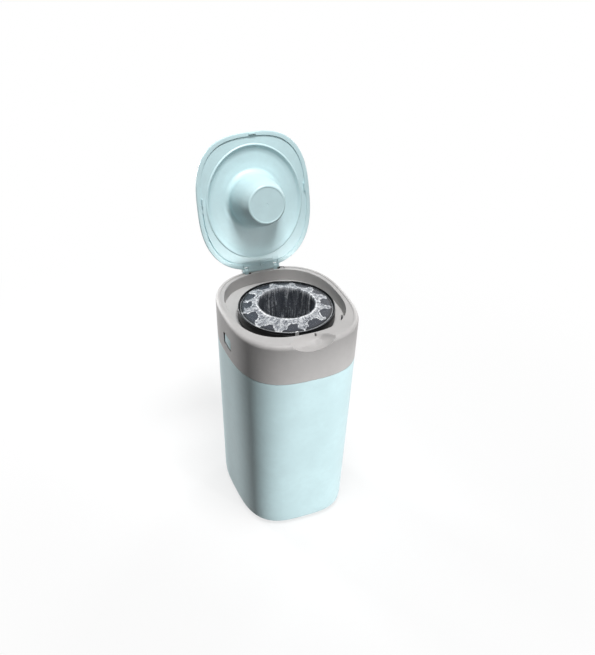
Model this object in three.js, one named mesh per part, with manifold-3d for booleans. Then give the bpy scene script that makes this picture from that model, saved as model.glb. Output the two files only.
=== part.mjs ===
import * as THREE from "three";
import { mergeVertices } from "three/addons/utils/BufferGeometryUtils.js";
import Module from "manifold-3d";

const wasm = await Module();
wasm.setup();

// A twist-type nappy bin: a tapered tub, a lift-off head that carries a turning film cassette,
// and a hinged lid with a plunger. Millimetres, +Z up, front at -Y, origin on the floor.

// Body outline.
const RIM_WIDTH = 240;
const RIM_DEPTH = 272;
const RIM_TOP = 436;
const BASE_WIDTH_SHARE = 0.86;
const BASE_DEPTH_SHARE = 0.91;
const BASE_POWER = 3.2;
const FRONT_POWER = 2.82;
const BACK_POWER = 2.56;
const HEAD_HEIGHT = 82;
const HEAD_BOTTOM = RIM_TOP - HEAD_HEIGHT;
const GAP = 0.3;

// Tub.
const TUB_WALL = 2.8;
const TUB_FLOOR = 3.4;
const BASE_ROUND = 13;
const PLINTH_TOP = 20;
const PLINTH_STEP = 0.8;
const NECK_HEIGHT = 49;
const NECK_TOP = HEAD_BOTTOM + NECK_HEIGHT;
const NECK_DRAFT = 0.4;
const SHOULDER_SLOPE = 7;

// Collar.
const COLLAR_WALL = 2.8;
const COLLAR_TO_NECK = 0.6;
const RIM_ROUND = 8;
const BEAD_FLAT = 0.7;
const LEDGE_DROP = 1.6;
const RIM_THICK = 3;
const LINER_WALL = 2.4;
const OPENING_SHARES = { halfWidth: 0.4375, back: 0.4485, front: 0.3787 };
const OPENING_HALF_WIDTH = RIM_WIDTH * OPENING_SHARES.halfWidth;
const OPENING_BACK = RIM_DEPTH * OPENING_SHARES.back;
const OPENING_FRONT = RIM_DEPTH * OPENING_SHARES.front;
const OPENING_POWER = 2.5;
const OPENING_DRAFT = 0.8;

// Window over each release catch.
const WINDOW_BACK = 6;
const WINDOW_FRONT = 30;
const WINDOW_SILL = 21;
const WINDOW_HEIGHT = 24;
const WINDOW_BOTTOM = HEAD_BOTTOM + WINDOW_SILL;
const WINDOW_TOP = WINDOW_BOTTOM + WINDOW_HEIGHT;
const CATCH_BACK = 10;
const CATCH_FRONT = 34;
const CATCH_SILL = 8.5;
const CATCH_BOTTOM = HEAD_BOTTOM + CATCH_SILL;
const CATCH_GAP = 0.5;

// Finger recess in the front rim.
const RECESS_SET_IN = 8;
const RECESS_Y = RIM_DEPTH / 2 - RECESS_SET_IN;
const RECESS_RISE = 8;
const RECESS_Z = RIM_TOP + RECESS_RISE;
const RECESS_HALF_WIDTH = 44;
const RECESS_HALF_DEPTH = 24;
const RECESS_HALF_HEIGHT = 27;
const RECESS_WALL = 2.6;
const DETENT_X = 13;
const DETENT_SET_IN = 28.8;
const DETENT_Y = RIM_DEPTH / 2 - DETENT_SET_IN;
const DETENT_RADIUS = 1.8;

// Deck.
const DECK_DEPTH = 25;
const DECK_TOP = RIM_TOP - DECK_DEPTH;
const DECK_THICK = 3;
const DECK_TO_COLLAR = 0.5;
const SLEEVE_WALL = 2.4;
const SLEEVE_DEPTH = 30;
const SLEEVE_BOTTOM = DECK_TOP - SLEEVE_DEPTH;

// The turning parts share an axis a little in front of the middle. The cassette's ring is as wide
// as the opening has room for, and what carries it and what it carries follow from it.
const TURN_Y = -5;
const TURN_CLEAR = 0.8;
const RING_SHARES = { width: 0.371, depth: 0.3275 };
const RING_RADIUS = Math.min(RIM_WIDTH * RING_SHARES.width, RIM_DEPTH * RING_SHARES.depth);
const RING_OVERHANG = 7.1;
const CASE_RADIUS = RING_RADIUS - RING_OVERHANG;
const DRUM_SLACK = 0.7;
const DRUM_WALL = 2.3;
const DRUM_RADIUS = CASE_RADIUS + DRUM_SLACK + DRUM_WALL;
const DRUM_BOTTOM = SLEEVE_BOTTOM - TURN_CLEAR;
const DRUM_FLOOR = 3;
const DRUM_LEDGE = 12.9;
const DRUM_BORE = DRUM_RADIUS - DRUM_LEDGE;
const FLANGE_WIDTH = 3.5;
const FLANGE_RADIUS = DRUM_RADIUS + FLANGE_WIDTH;
const FLANGE_THICK = 1.8;
const RATCHET_OVERHANG = 6.1;
const RATCHET_TOOTH_ROOT = DRUM_RADIUS + RATCHET_OVERHANG;
const RATCHET_TOOTH_DEPTH = 2;
const RATCHET_TOOTH_TIP = RATCHET_TOOTH_ROOT + RATCHET_TOOTH_DEPTH;
const RATCHET_THICK = 3.3;
const RATCHET_TEETH = 36;
const RATCHET_LEAN_SHARE = 0.9;

// Cassette.
const RING_RISE = 22.5;
const RING_TOP = DECK_TOP + RING_RISE;
const RING_LIP = 2.5;
const CASE_WALL = 1.8;
const CASE_FLOOR = 1.8;
const CASE_STEP = 2.3;
const EDGE_ROUND = 0.9;
const THROAT_SHARE = 0.635;
const THROAT_RADIUS = CASE_RADIUS * THROAT_SHARE;
const THROAT_WALL = 1.8;
const THROAT_RISE = 5;
const THROAT_TOP = RING_TOP + THROAT_RISE;
const THROAT_LENGTH = 64.5;
const THROAT_BOTTOM = THROAT_TOP - THROAT_LENGTH;
const THROAT_SNAP = 4.5;
const CAP_SET_IN = 4.8;
const CAP_RADIUS = RING_RADIUS - CAP_SET_IN;
const CAP_SINK = 2.9;
const CAP_EDGE_Z = RING_TOP - CAP_SINK;
const PACK_INSET = 2.4;
const FILM = 0.8;
const FILM_GAP = 0.4;
const FILM_SLOT_DEPTH = 3;

// Film below the throat: a funnel down to a twisted neck, a knot and a short tail.
const NECK_RADIUS = 9;
const KNOT_WIDTH = 6;
const KNOT_RADIUS = NECK_RADIUS + KNOT_WIDTH;
const TAIL_WIDTH = 13;
const TAIL_RADIUS = NECK_RADIUS + TAIL_WIDTH;
const TAIL_LENGTH = 98;
const TAIL_BOTTOM = THROAT_BOTTOM - TAIL_LENGTH;
// Where the tail's rings lie, as shares of its height from the top, and how wide they are.
const TAIL_OUTER_SHARES = {
  end: [1, 0.5],
  skirt: [0.98, 1],
  gather: [0.86, 0.7],
  belowKnot: [0.78, 1],
  knotLow: [0.7, 1],
  knotHigh: [0.62, 1],
  twist: [0.54, 1],
  funnel: [0.4, 1.7],
  belly: [0.2, 0.66],
  mouth: [0.07, 0.92],
};
const FUNNEL_POINT_SHARES = [0.5, 0.3];

// Grip crown, on posts under the deck.
const POST_RADIUS = 4.6;
const POST_ROOM = 8.5;
const POST_CIRCLE = RATCHET_TOOTH_TIP + POST_ROOM;
const CROWN_DROP = 17.5;
const CROWN_TOP = DRUM_BOTTOM - CROWN_DROP;
const CROWN_THICK = 3.4;
const CROWN_EDGE = 5.5;
const CROWN_RADIUS = POST_CIRCLE + CROWN_EDGE;
const CROWN_ROOM = 8;
const CROWN_BORE = THROAT_RADIUS + CROWN_ROOM;
const FINGER_TIP_SHARE = 0.6;
const FINGER_TIP_RADIUS = THROAT_RADIUS * FINGER_TIP_SHARE;
const FINGER_TIP_DROP = 24;
const FINGER_THICK = 1.8;
const FINGER_WIDTH_SHARES = { root: 0.5, tip: 0.42 };
const FINGER_ROOT_WIDTH = CROWN_BORE * FINGER_WIDTH_SHARES.root;
const FINGER_TIP_WIDTH = FINGER_TIP_RADIUS * FINGER_WIDTH_SHARES.tip;
const FINGER_ROOT_LAP = 6;
const FINGER_COUNT = 9;
const FINGER_BEND_SHARE = 0.45;
const FINGER_DROP_SHARE = 0.3;

// Screws.
const SCREW_SHANK = 1.4;
const SCREW_HEAD = 3.2;
const SCREW_HEAD_THICK = 2;
const SCREW_SOCKET = 1.5;
const SCREW_HOLE = 1.8;
const BOSS_RADIUS = 4;
const BOSS_INSET = 9;
const DECK_SCREW_LENGTH = 13;
const CROWN_SCREW_LENGTH = 15;
const RATCHET_SCREW_LENGTH = 6;
const RATCHET_SCREW_CIRCLE = DRUM_RADIUS - DRUM_LEDGE / 2;
const PAWL_SCREW_LENGTH = 12;

// Click pawl.
const PAWL_THICK = 2.9;
const PAWL_EYE = 3.4;
// How far each of its edges lies outside the roots of the teeth.
const PAWL_PIVOT_OUT = 8;
const PAWL_TIP_INNER_OUT = 0.9;
const PAWL_TIP_OUTER_OUT = 6.2;
const PAWL_ARM_INNER_OUT = 4.2;
const PAWL_ARM_OUTER_OUT = 7.4;
const PAWL_PIVOT = RATCHET_TOOTH_ROOT + PAWL_PIVOT_OUT;
const PAWL_TIP_IN = RATCHET_TOOTH_ROOT + PAWL_TIP_INNER_OUT;
const PAWL_TIP_OUT = RATCHET_TOOTH_ROOT + PAWL_TIP_OUTER_OUT;
const PAWL_ARM_IN = RATCHET_TOOTH_ROOT + PAWL_ARM_INNER_OUT;
const PAWL_ARM_OUT = RATCHET_TOOTH_ROOT + PAWL_ARM_OUTER_OUT;
const PAWL_DROP = 0.2;
const PAWL_TIP_START = 0.4;
const PAWL_TIP_END = 1.9;
const PAWL_ARM_START = 2.3;
const PAWL_EYE_LEAD = 1;

// Film cutter in the deck.
const CUTTER_ROOM = 12.5;
const CUTTER_SLOT_LENGTH = 27;
const CUTTER_SLOT_WIDTH = 3.2;
const CUTTER_BODY_LENGTH = 32;
const CUTTER_BODY_WIDTH = 8;
const CUTTER_BODY_DEPTH = 15;
const CUTTER_WELL_DEPTH = 12;
const BLADE_LENGTH = 22;
const BLADE_THICK = 1;
const BLADE_HEIGHT = 8;
const BLADE_EDGE = 2;

// Lid.
const HINGE_SET_IN = 8.2;
const HINGE_Y = RIM_DEPTH / 2 - HINGE_SET_IN;
const HINGE_RISE = 3.6;
const HINGE_Z = RIM_TOP + HINGE_RISE;
const LID_INSET = 9.3;
const LID_LAP = 1.1;
const LID_BOTTOM = RIM_TOP - LID_LAP;
const LID_SIDE = 4.6;
const LID_EDGE = LID_BOTTOM + LID_SIDE;
const LID_DOME = 13.5;
const LID_CROWN = LID_EDGE + LID_DOME;
const LID_WALL = 2.2;
const LID_FLANGE = 7.6;
const LID_FLANGE_THICK = 1.6;
const LID_SHOULDER = 3.6;
const LID_SHOULDER_RISE = 4;
const LID_ROUND_SHARES = { inset: 0.3, rise: 0.7 };
const DOME_UNDER_SHARES = [0.15, 0.8];
const DOME_OVER_SHARES = [0.8, 0.45, 0.15];
const LINER_INSET = 2.9;
const LINER_RISE = 0.8;
const LINER_FACE = RIM_TOP + LINER_RISE;
const BARREL_RADIUS = 4.6;
const BARREL_HALF = 37;
const BARREL_GAP = 0.6;
const LUG_THICK = 7;
const LUG_RADIUS = 4.8;
const LUG_GAP = 0.6;
const LUG_SET_IN = 4;
const LUG_ROOM = 2.5;
const LUG_SINK = 4;
const LUG_FOOT_Z = RIM_TOP - LUG_SINK;
const PIN_RADIUS = 1.5;
const PIN_HOLE = 1.9;
const PIN_IN_BARREL = 8;
const PIN_HEAD = 2.8;
const PIN_HEAD_THICK = 1.4;
const PIN_HEAD_ROOM = 3.2;
const NOTCH_SINK = 2;
const NOTCH_Z = RIM_TOP - NOTCH_SINK;
const NOTCH_REACH = 6.3;
const NOTCH_INNER_Y = HINGE_Y - NOTCH_REACH;

// Plunger on the liner: oval bead, flare, then a round post.
const BEAD_SHARES = { width: 0.3854, length: 0.3824 };
const BEAD_HALF_WIDTH = RIM_WIDTH * BEAD_SHARES.width;
const BEAD_HALF_LENGTH = RIM_DEPTH * BEAD_SHARES.length;
const BEAD_HALF_THICK = 2.4;
const BEAD_DROP = 1.6;
// The plunger passes down the throat, so its round sizes are shares of the throat's.
const PLUNGER_SHARES = { tip: 0.7, postTop: 0.8, boss: 0.884, flare: 0.932, root: 0.96 };
const PLUNGER_RADIUS = THROAT_RADIUS * PLUNGER_SHARES.tip;
const PLUNGER_DEPTH = 69;
const PLUNGER_ROUND = 3.4;
const FLARE_RADIUS = THROAT_RADIUS * PLUNGER_SHARES.flare;
const FLARE_DEPTH = 15;
const ROOT_RADIUS = THROAT_RADIUS * PLUNGER_SHARES.root;
const ROOT_RISE = 2.5;
const DISH_RISE = 5.6;
const BOSS_RING_RADIUS = THROAT_RADIUS * PLUNGER_SHARES.boss;
const BOSS_RING_DEPTH = 29;
const POST_TOP_RADIUS = THROAT_RADIUS * PLUNGER_SHARES.postTop;
const POST_TOP_DEPTH = 51;
// The dish between bead and root: width, length, how far in from the bead's middle, rise.
const DISH_SHARES = [
  [0.93, 0.93, 0.1, 0.9],
  [0.8, 0.77, 0.5, 1],
  [0.63, 0.573, 0.95, 1],
  [0.578, 0.516, 1, 0.88],
];
const TAB_HALF = 7;
const TAB_THICK = 2;
const TAB_DEPTH = 4.4;
const SIDE_TAB_SET_IN = 19;
const SIDE_TAB_X = RIM_WIDTH / 2 - SIDE_TAB_SET_IN;
const SIDE_TAB_Y = -13;
const FRONT_TAB_X = 7;
const FRONT_TAB_SET_IN = 12.6;
const FRONT_TAB_Y = FRONT_TAB_SET_IN - RIM_DEPTH / 2;

// Angles and counts.
const DEGREE = Math.PI / 180;
const RIGHT_ANGLE = 90 * DEGREE;
const LID_OPEN = -106 * DEGREE;
const OUTLINE_POINTS = 48;
const ROUND_POINTS = 40;
const SMALL_POINTS = 14;
const PEG_POINTS = 10;
const RECESS_POINTS = [24, 18];
const QUARTER_STEPS = 3;
const WELD = 1e-4;

// Colours.
const AQUA = 0xbfdfe3;
const AQUA_DEEP = 0xb4d6db;
const GREY = 0xcfcecd;
const GREY_DECK = 0xc6c5c4;
const BLACK = 0x17181b;
const SLATE = 0x3c434c;
const FILM_TINT = 0xdfe7ee;
const STEEL = 0x9a9ca0;
const DARK_GREY = 0x55585c;

const lerp = (from, to, share) => from + (to - from) * share;
const range = (count) => Array.from({ length: count }, (_, i) => i);
const circleAngles = (count) => range(count).map((i) => (i / count) * 2 * Math.PI);
const outlineAngles = circleAngles(OUTLINE_POINTS);
const roundAngles = circleAngles(ROUND_POINTS);

// Distance from the middle to a superellipse with half-axes a, b, in direction t.
function polar(t, a, b, power) {
  const x = Math.pow(Math.abs(Math.cos(t)) / a, power);
  const y = Math.pow(Math.abs(Math.sin(t)) / b, power);
  return Math.pow(x + y, -1 / power);
}

const point = (t, r, z, y = 0) => new THREE.Vector3(r * Math.cos(t), r * Math.sin(t) + y, z);
const onTurn = (t, r, z) => point(t, r, z, TURN_Y);

// Outline of the body at height z, moved in by inset.
function bodyRadius(t, z, inset) {
  const up = z / RIM_TOP;
  const a = (lerp(BASE_WIDTH_SHARE, 1, up) * RIM_WIDTH) / 2 - inset;
  const b = (lerp(BASE_DEPTH_SHARE, 1, up) * RIM_DEPTH) / 2 - inset;
  const top = Math.sin(t) < 0 ? FRONT_POWER : BACK_POWER;
  return polar(t, a, b, lerp(BASE_POWER, top, up));
}
const bodyRing = (z, inset) => outlineAngles.map((t) => point(t, bodyRadius(t, z, inset), z));

// Outline of the opening inside the rim, moved out by grow.
function openingRing(z, grow) {
  return outlineAngles.map((t) => {
    const b = Math.sin(t) < 0 ? OPENING_FRONT : OPENING_BACK;
    return point(t, polar(t, OPENING_HALF_WIDTH + grow, b + grow, OPENING_POWER), z);
  });
}

// Outline of the closed lid, moved in by inset.
function lidRing(z, inset) {
  const a = RIM_WIDTH / 2 - LID_INSET - inset;
  const b = RIM_DEPTH / 2 - LID_INSET - inset;
  return outlineAngles.map((t) => {
    const power = Math.sin(t) < 0 ? FRONT_POWER : BACK_POWER;
    return point(t, polar(t, a, b, power), z);
  });
}

const ovalRing = (z, a, b, y) =>
  outlineAngles.map((t) => new THREE.Vector3(a * Math.cos(t), b * Math.sin(t) + y, z));

// One closed surface through rings of points. A loop of rings closes on itself;
// otherwise both ends are closed with a fan to their middle.
function loft(rings, loop) {
  const count = rings[0].length;
  const positions = rings.flat().flatMap((p) => [p.x, p.y, p.z]);
  const index = [];
  const bands = loop ? rings.length : rings.length - 1;
  for (const i of range(bands)) {
    const low = i * count;
    const high = ((i + 1) % rings.length) * count;
    for (const j of range(count)) {
      const k = (j + 1) % count;
      index.push(low + j, low + k, high + k, low + j, high + k, high + j);
    }
  }
  if (!loop) addFans(rings, positions, index);
  const geometry = new THREE.BufferGeometry();
  geometry.setAttribute("position", new THREE.Float32BufferAttribute(positions, 3));
  geometry.setIndex(index);
  return geometry;
}

function addFans(rings, positions, index) {
  const count = rings[0].length;
  const last = (rings.length - 1) * count;
  for (const ring of [rings[0], rings[rings.length - 1]]) {
    const middle = ring.reduce((sum, p) => sum.add(p), new THREE.Vector3());
    middle.divideScalar(count);
    positions.push(middle.x, middle.y, middle.z);
  }
  const first = rings.length * count;
  for (const j of range(count)) {
    const k = (j + 1) % count;
    index.push(first, k, j, first + 1, last + j, last + k);
  }
}

// A turned shape about the turning axis, from pairs of radius and height. A shape whose ends
// lie on the axis has its first and last pair just beside them.
function turned(profile, loop, angles = roundAngles) {
  return loft(profile.map(([r, z]) => angles.map((t) => onTurn(t, r, z))), loop);
}

function plug(x, y, radius, low, high, count = SMALL_POINTS) {
  const place = new THREE.Vector3(x, y, 0);
  const ring = (z) => circleAngles(count).map((t) => point(t, radius, z).add(place));
  return loft([ring(low), ring(high)], false);
}

function block(x0, x1, y0, y1, z0, z1) {
  const box = new THREE.BoxGeometry(x1 - x0, y1 - y0, z1 - z0);
  return box.translate((x0 + x1) / 2, (y0 + y1) / 2, (z0 + z1) / 2);
}

// Booleans.
function solid(geometry) {
  const plain = new THREE.BufferGeometry();
  plain.setAttribute("position", geometry.getAttribute("position"));
  plain.setIndex(geometry.index);
  const merged = mergeVertices(plain, WELD);
  const mesh = new wasm.Mesh({
    numProp: 3,
    vertProperties: new Float32Array(merged.attributes.position.array),
    triVerts: new Uint32Array(merged.index.array),
  });
  return new wasm.Manifold(mesh);
}

function geometryOf(made) {
  const mesh = made.getMesh();
  const geometry = new THREE.BufferGeometry();
  geometry.setAttribute("position", new THREE.BufferAttribute(mesh.vertProperties, 3));
  geometry.setIndex(new THREE.BufferAttribute(mesh.triVerts, 1));
  return geometry;
}

const cut = (from, tools) => tools.reduce((made, tool) => made.subtract(solid(tool)), from);
const joined = (first, more) => more.reduce((made, next) => made.add(solid(next)), first);

const group = new THREE.Group();
group.name = "nappy_bin";

function addPart(name, geometry, colour, roughness, metalness = 0, opacity = 1) {
  const material = new THREE.MeshStandardMaterial({ color: colour, roughness, metalness });
  material.opacity = opacity;
  material.transparent = opacity < 1;
  const flat = geometry.index ? geometry.toNonIndexed() : geometry;
  flat.computeVertexNormals();
  const mesh = new THREE.Mesh(flat, material);
  mesh.name = name;
  group.add(mesh);
  return mesh;
}

// Tub.
const NECK_INSET = COLLAR_WALL + COLLAR_TO_NECK;

// Rings round a quarter turn, placed by its sine and cosine.
function quarter(steps, place) {
  const turn = (i) => (i / steps) * RIGHT_ANGLE;
  return range(steps + 1).map((i) => place(Math.sin(turn(i)), Math.cos(turn(i))));
}

// The neck stands straight up from the shoulder, so that the flaring collar lifts off it.
function neckRing(z, inset) {
  return bodyRing(HEAD_BOTTOM, NECK_INSET + inset).map((p) => p.setZ(z));
}

function tubShell() {
  const shoulder = HEAD_BOTTOM - GAP;
  const inner = BASE_ROUND - TUB_WALL;
  const below = shoulder - SHOULDER_SLOPE;
  const outerFoot = quarter(QUARTER_STEPS, (s, c) =>
    bodyRing(BASE_ROUND * (1 - c), PLINTH_STEP + BASE_ROUND * (1 - s)),
  );
  const innerFoot = quarter(QUARTER_STEPS, (s, c) =>
    bodyRing(TUB_FLOOR + inner * (1 - s), TUB_WALL + PLINTH_STEP + inner * (1 - c)),
  );
  return loft(
    [
      ...outerFoot,
      bodyRing(PLINTH_TOP, PLINTH_STEP),
      bodyRing(PLINTH_TOP + PLINTH_STEP, 0),
      bodyRing(shoulder / 2, 0),
      bodyRing(shoulder, 0),
      neckRing(shoulder, 0),
      neckRing(NECK_TOP, NECK_DRAFT),
      neckRing(NECK_TOP, NECK_DRAFT + TUB_WALL),
      neckRing(shoulder, TUB_WALL),
      bodyRing(below, TUB_WALL),
      bodyRing(shoulder / 2, TUB_WALL),
      bodyRing(PLINTH_TOP + PLINTH_STEP + TUB_WALL, TUB_WALL + PLINTH_STEP),
      ...innerFoot,
    ],
    false,
  );
}

// A tongue of the neck wall on each side, free on three edges, is the release catch.
function catchBox(side, margin) {
  const far = RIM_WIDTH;
  const [x0, x1] = side < 0 ? [-far, 0] : [0, far];
  const low = CATCH_BOTTOM + margin;
  return block(x0, x1, -CATCH_FRONT + margin, CATCH_BACK - margin, low, RIM_TOP);
}

function addTub() {
  const shell = solid(tubShell());
  addPart("tub", geometryOf(cut(shell, [catchBox(-1, 0), catchBox(1, 0)])), AQUA, 0.34);
  addPart("catch_left", catchTongue(shell, -1), AQUA_DEEP, 0.36);
  addPart("catch_right", catchTongue(shell, 1), AQUA_DEEP, 0.36);
}

const catchTongue = (shell, side) => geometryOf(shell.intersect(solid(catchBox(side, CATCH_GAP))));

// Collar.
function collarShell() {
  const foot = HEAD_BOTTOM;
  const roundZ = RIM_TOP - RIM_ROUND;
  const ledge = RIM_TOP - LEDGE_DROP;
  const under = ledge - RIM_THICK;
  const innerRound = RIM_ROUND - COLLAR_WALL;
  const openFoot = DECK_TOP + GAP;
  const outer = quarter(QUARTER_STEPS, (s, c) =>
    bodyRing(roundZ + RIM_ROUND * s, RIM_ROUND * (1 - c)),
  );
  return loft(
    [
      bodyRing(foot, 0),
      ...outer,
      bodyRing(RIM_TOP, RIM_ROUND + BEAD_FLAT),
      bodyRing(ledge, RIM_ROUND + BEAD_FLAT),
      openingRing(ledge, 0),
      openingRing(openFoot, -OPENING_DRAFT),
      openingRing(openFoot, LINER_WALL - OPENING_DRAFT),
      openingRing(under, LINER_WALL),
      bodyRing(under, COLLAR_WALL + innerRound),
      bodyRing(under - innerRound, COLLAR_WALL),
      bodyRing(foot, COLLAR_WALL),
    ],
    true,
  );
}

function filledCollar() {
  const rings = [
    bodyRing(HEAD_BOTTOM, COLLAR_WALL / 2),
    bodyRing(RIM_TOP - RIM_ROUND, COLLAR_WALL / 2),
    bodyRing(RIM_TOP - LEDGE_DROP - RIM_THICK / 2, RIM_ROUND),
  ];
  return loft(rings, false);
}

function recess(grow) {
  const ball = new THREE.SphereGeometry(1, ...RECESS_POINTS);
  ball.scale(RECESS_HALF_WIDTH + grow, RECESS_HALF_DEPTH + grow, RECESS_HALF_HEIGHT + grow);
  return ball.translate(0, -RECESS_Y, RECESS_Z);
}

const degrees = (list) => list.map((a) => a * DEGREE);
const bossAngles = degrees([50, 130, 230, 310]);
const bossAt = (t) => point(t, bodyRadius(t, DECK_TOP, BOSS_INSET), 0);
const postAngles = degrees([45, 135, 225, 315]);
const postAt = (t) => onTurn(t, POST_CIRCLE, 0);
const ratchetScrewAngles = degrees([30, 150, 270]);
const ratchetScrewAt = (t) => onTurn(t, RATCHET_SCREW_CIRCLE, 0);
const screwHole = (at, low, high) => plug(at.x, at.y, SCREW_HOLE, low, high, PEG_POINTS);

const LUG_OUTER = BARREL_HALF - LUG_SET_IN;
const LUG_INNER = LUG_OUTER - LUG_THICK;
const lugSides = [[-LUG_OUTER, -LUG_INNER], [LUG_INNER, LUG_OUTER]];

// A ring of points about the hinge axis, facing along X.
function hingeRing(x, radius, count) {
  const side = (t) => HINGE_Y + radius * Math.cos(t);
  const height = (t) => HINGE_Z + radius * Math.sin(t);
  return circleAngles(count).map((t) => new THREE.Vector3(x, side(t), height(t)));
}

function hingeBar(x0, x1, radius, count = SMALL_POINTS) {
  return loft([hingeRing(x0, radius, count), hingeRing(x1, radius, count)], false);
}

function lug([x0, x1]) {
  const foot = block(x0, x1, HINGE_Y - LUG_RADIUS, HINGE_Y + LUG_RADIUS, LUG_FOOT_Z, HINGE_Z);
  return [hingeBar(x0, x1, LUG_RADIUS), foot];
}

function windowBox(side) {
  const near = OPENING_HALF_WIDTH + LINER_WALL;
  const [x0, x1] = side < 0 ? [-RIM_WIDTH, -near] : [near, RIM_WIDTH];
  return block(x0, x1, -WINDOW_FRONT, WINDOW_BACK, WINDOW_BOTTOM, WINDOW_TOP);
}

function addCollar() {
  const top = RIM_TOP - LEDGE_DROP - RIM_THICK / 2;
  const bosses = bossAngles.map(bossAt).map((at) => plug(at.x, at.y, BOSS_RADIUS, DECK_TOP + GAP, top));
  const dish = solid(filledCollar()).intersect(solid(recess(RECESS_WALL)));
  const knuckle = BARREL_HALF + BARREL_GAP;
  const notchTop = HINGE_Z + RIM_ROUND;
  const notch = block(-knuckle, knuckle, NOTCH_INNER_Y, RIM_DEPTH, NOTCH_Z, notchTop);
  const notched = cut(joined(solid(collarShell()).add(dish), bosses), [notch]);
  const made = cut(joined(notched, lugSides.flatMap(lug)), [
    recess(0),
    windowBox(-1),
    windowBox(1),
    plug(DETENT_X, -DETENT_Y, DETENT_RADIUS, RIM_TOP - RIM_ROUND, RIM_TOP + RIM_ROUND),
    hingeBar(-RIM_WIDTH, RIM_WIDTH, PIN_HOLE, PEG_POINTS),
    ...bossAngles.map(bossAt).map((at) => screwHole(at, DECK_TOP, DECK_TOP + DECK_SCREW_LENGTH)),
  ]);
  addPart("collar", geometryOf(made), GREY, 0.4);
}

// Deck.
const PAWL_ANGLE = 100 * DEGREE;
const PAWL_TIP_ANGLE = 90 * DEGREE;
const pawlPivot = onTurn(PAWL_ANGLE, PAWL_PIVOT, 0);
const RATCHET_TOP = DRUM_BOTTOM - GAP;
const RATCHET_BOTTOM = RATCHET_TOP - RATCHET_THICK;
const PAWL_TOP = RATCHET_TOP - PAWL_DROP;
const CUTTER_ANGLE = -26.3 * DEGREE;
const CUTTER_TURN = CUTTER_ANGLE + RIGHT_ANGLE;
const cutterPlace = onTurn(CUTTER_ANGLE, RING_RADIUS + CUTTER_ROOM, 0);

// A bar in the cutter's own direction, between heights z0 and z1.
function cutterBar(length, width, z0, z1) {
  const bar = block(-length / 2, length / 2, -width / 2, width / 2, z0, z1);
  return bar.rotateZ(CUTTER_TURN).translate(cutterPlace.x, cutterPlace.y, 0);
}

function addDeck() {
  const bottom = DECK_TOP - DECK_THICK;
  const inset = COLLAR_WALL + DECK_TO_COLLAR;
  const plate = solid(loft([bodyRing(bottom, inset), bodyRing(DECK_TOP, inset)], false));
  const bore = DRUM_RADIUS + TURN_CLEAR;
  const wall = bore + SLEEVE_WALL;
  const root = bottom + GAP;
  const sleeve = [[wall, SLEEVE_BOTTOM], [wall, root], [bore - GAP, root], [bore - GAP, SLEEVE_BOTTOM]];
  const posts = postAngles.map(postAt).map((at) => plug(at.x, at.y, POST_RADIUS, CROWN_TOP + GAP, root));
  const pawlBoss = plug(pawlPivot.x, pawlPivot.y, PAWL_EYE, PAWL_TOP + GAP, root);
  const made = cut(joined(plate, [turned(sleeve, true), ...posts, pawlBoss]), [
    turned([[bore, SLEEVE_BOTTOM - GAP], [bore, DECK_TOP + GAP]], false),
    cutterBar(CUTTER_SLOT_LENGTH, CUTTER_SLOT_WIDTH, bottom - GAP, DECK_TOP + GAP),
    screwHole(pawlPivot, PAWL_TOP, PAWL_TOP + PAWL_SCREW_LENGTH),
    ...postAngles.map(postAt).map((at) => screwHole(at, CROWN_TOP, CROWN_TOP + CROWN_SCREW_LENGTH)),
    ...bossAngles.map(bossAt).map((at) => screwHole(at, bottom - GAP, DECK_TOP + GAP)),
  ]);
  addPart("deck", geometryOf(made), GREY_DECK, 0.45);
}

// A screw pointing up, its head's top face just under height z.
function screw(name, at, z, length) {
  const top = z - GAP;
  const low = top - SCREW_HEAD_THICK;
  const profile = [
    [SCREW_SOCKET, low + SCREW_HEAD_THICK / 2],
    [SCREW_SOCKET, low],
    [SCREW_HEAD, low],
    [SCREW_HEAD, top],
    [SCREW_SHANK, top],
    [SCREW_SHANK, top + length - SCREW_SHANK],
    [SCREW_SHANK / 2, top + length],
  ];
  const place = new THREE.Vector3(at.x, at.y, 0);
  const ring = ([r, h]) => circleAngles(PEG_POINTS).map((t) => point(t, r, h).add(place));
  addPart(name, loft(profile.map(ring), false), STEEL, 0.35, 0.9);
}

function addScrews() {
  const row = (name, places, z, length) =>
    places.forEach((at, i) => screw(name + "_" + (i + 1), at, z, length));
  row("deck_screw", bossAngles.map(bossAt), DECK_TOP - DECK_THICK, DECK_SCREW_LENGTH);
  row("crown_screw", postAngles.map(postAt), CROWN_TOP - CROWN_THICK, CROWN_SCREW_LENGTH);
  row("ratchet_screw", ratchetScrewAngles.map(ratchetScrewAt), RATCHET_BOTTOM, RATCHET_SCREW_LENGTH);
  screw("pawl_screw", pawlPivot, PAWL_TOP - PAWL_THICK, PAWL_SCREW_LENGTH);
}

// Turntable and ratchet ring.
function addTurntable() {
  const flangeTop = DECK_TOP + FILM_GAP + FLANGE_THICK;
  const inner = DRUM_RADIUS - DRUM_WALL;
  const drum = turned([
    [DRUM_RADIUS, DRUM_BOTTOM],
    [DRUM_RADIUS, flangeTop - FLANGE_THICK],
    [FLANGE_RADIUS, flangeTop - FLANGE_THICK],
    [FLANGE_RADIUS, flangeTop],
    [inner, flangeTop],
    [inner, DRUM_BOTTOM + DRUM_FLOOR],
    [DRUM_BORE, DRUM_BOTTOM + DRUM_FLOOR],
    [DRUM_BORE, DRUM_BOTTOM],
  ], true);
  const top = DRUM_BOTTOM + DRUM_FLOOR + GAP;
  const holes = ratchetScrewAngles.map(ratchetScrewAt).map((at) => screwHole(at, RATCHET_BOTTOM - GAP, top));
  addPart("turntable", geometryOf(cut(solid(drum), holes)), DARK_GREY, 0.5);
  addPart("ratchet_ring", geometryOf(cut(solid(ratchetRing()), holes)), DARK_GREY, 0.5);
}

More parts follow.
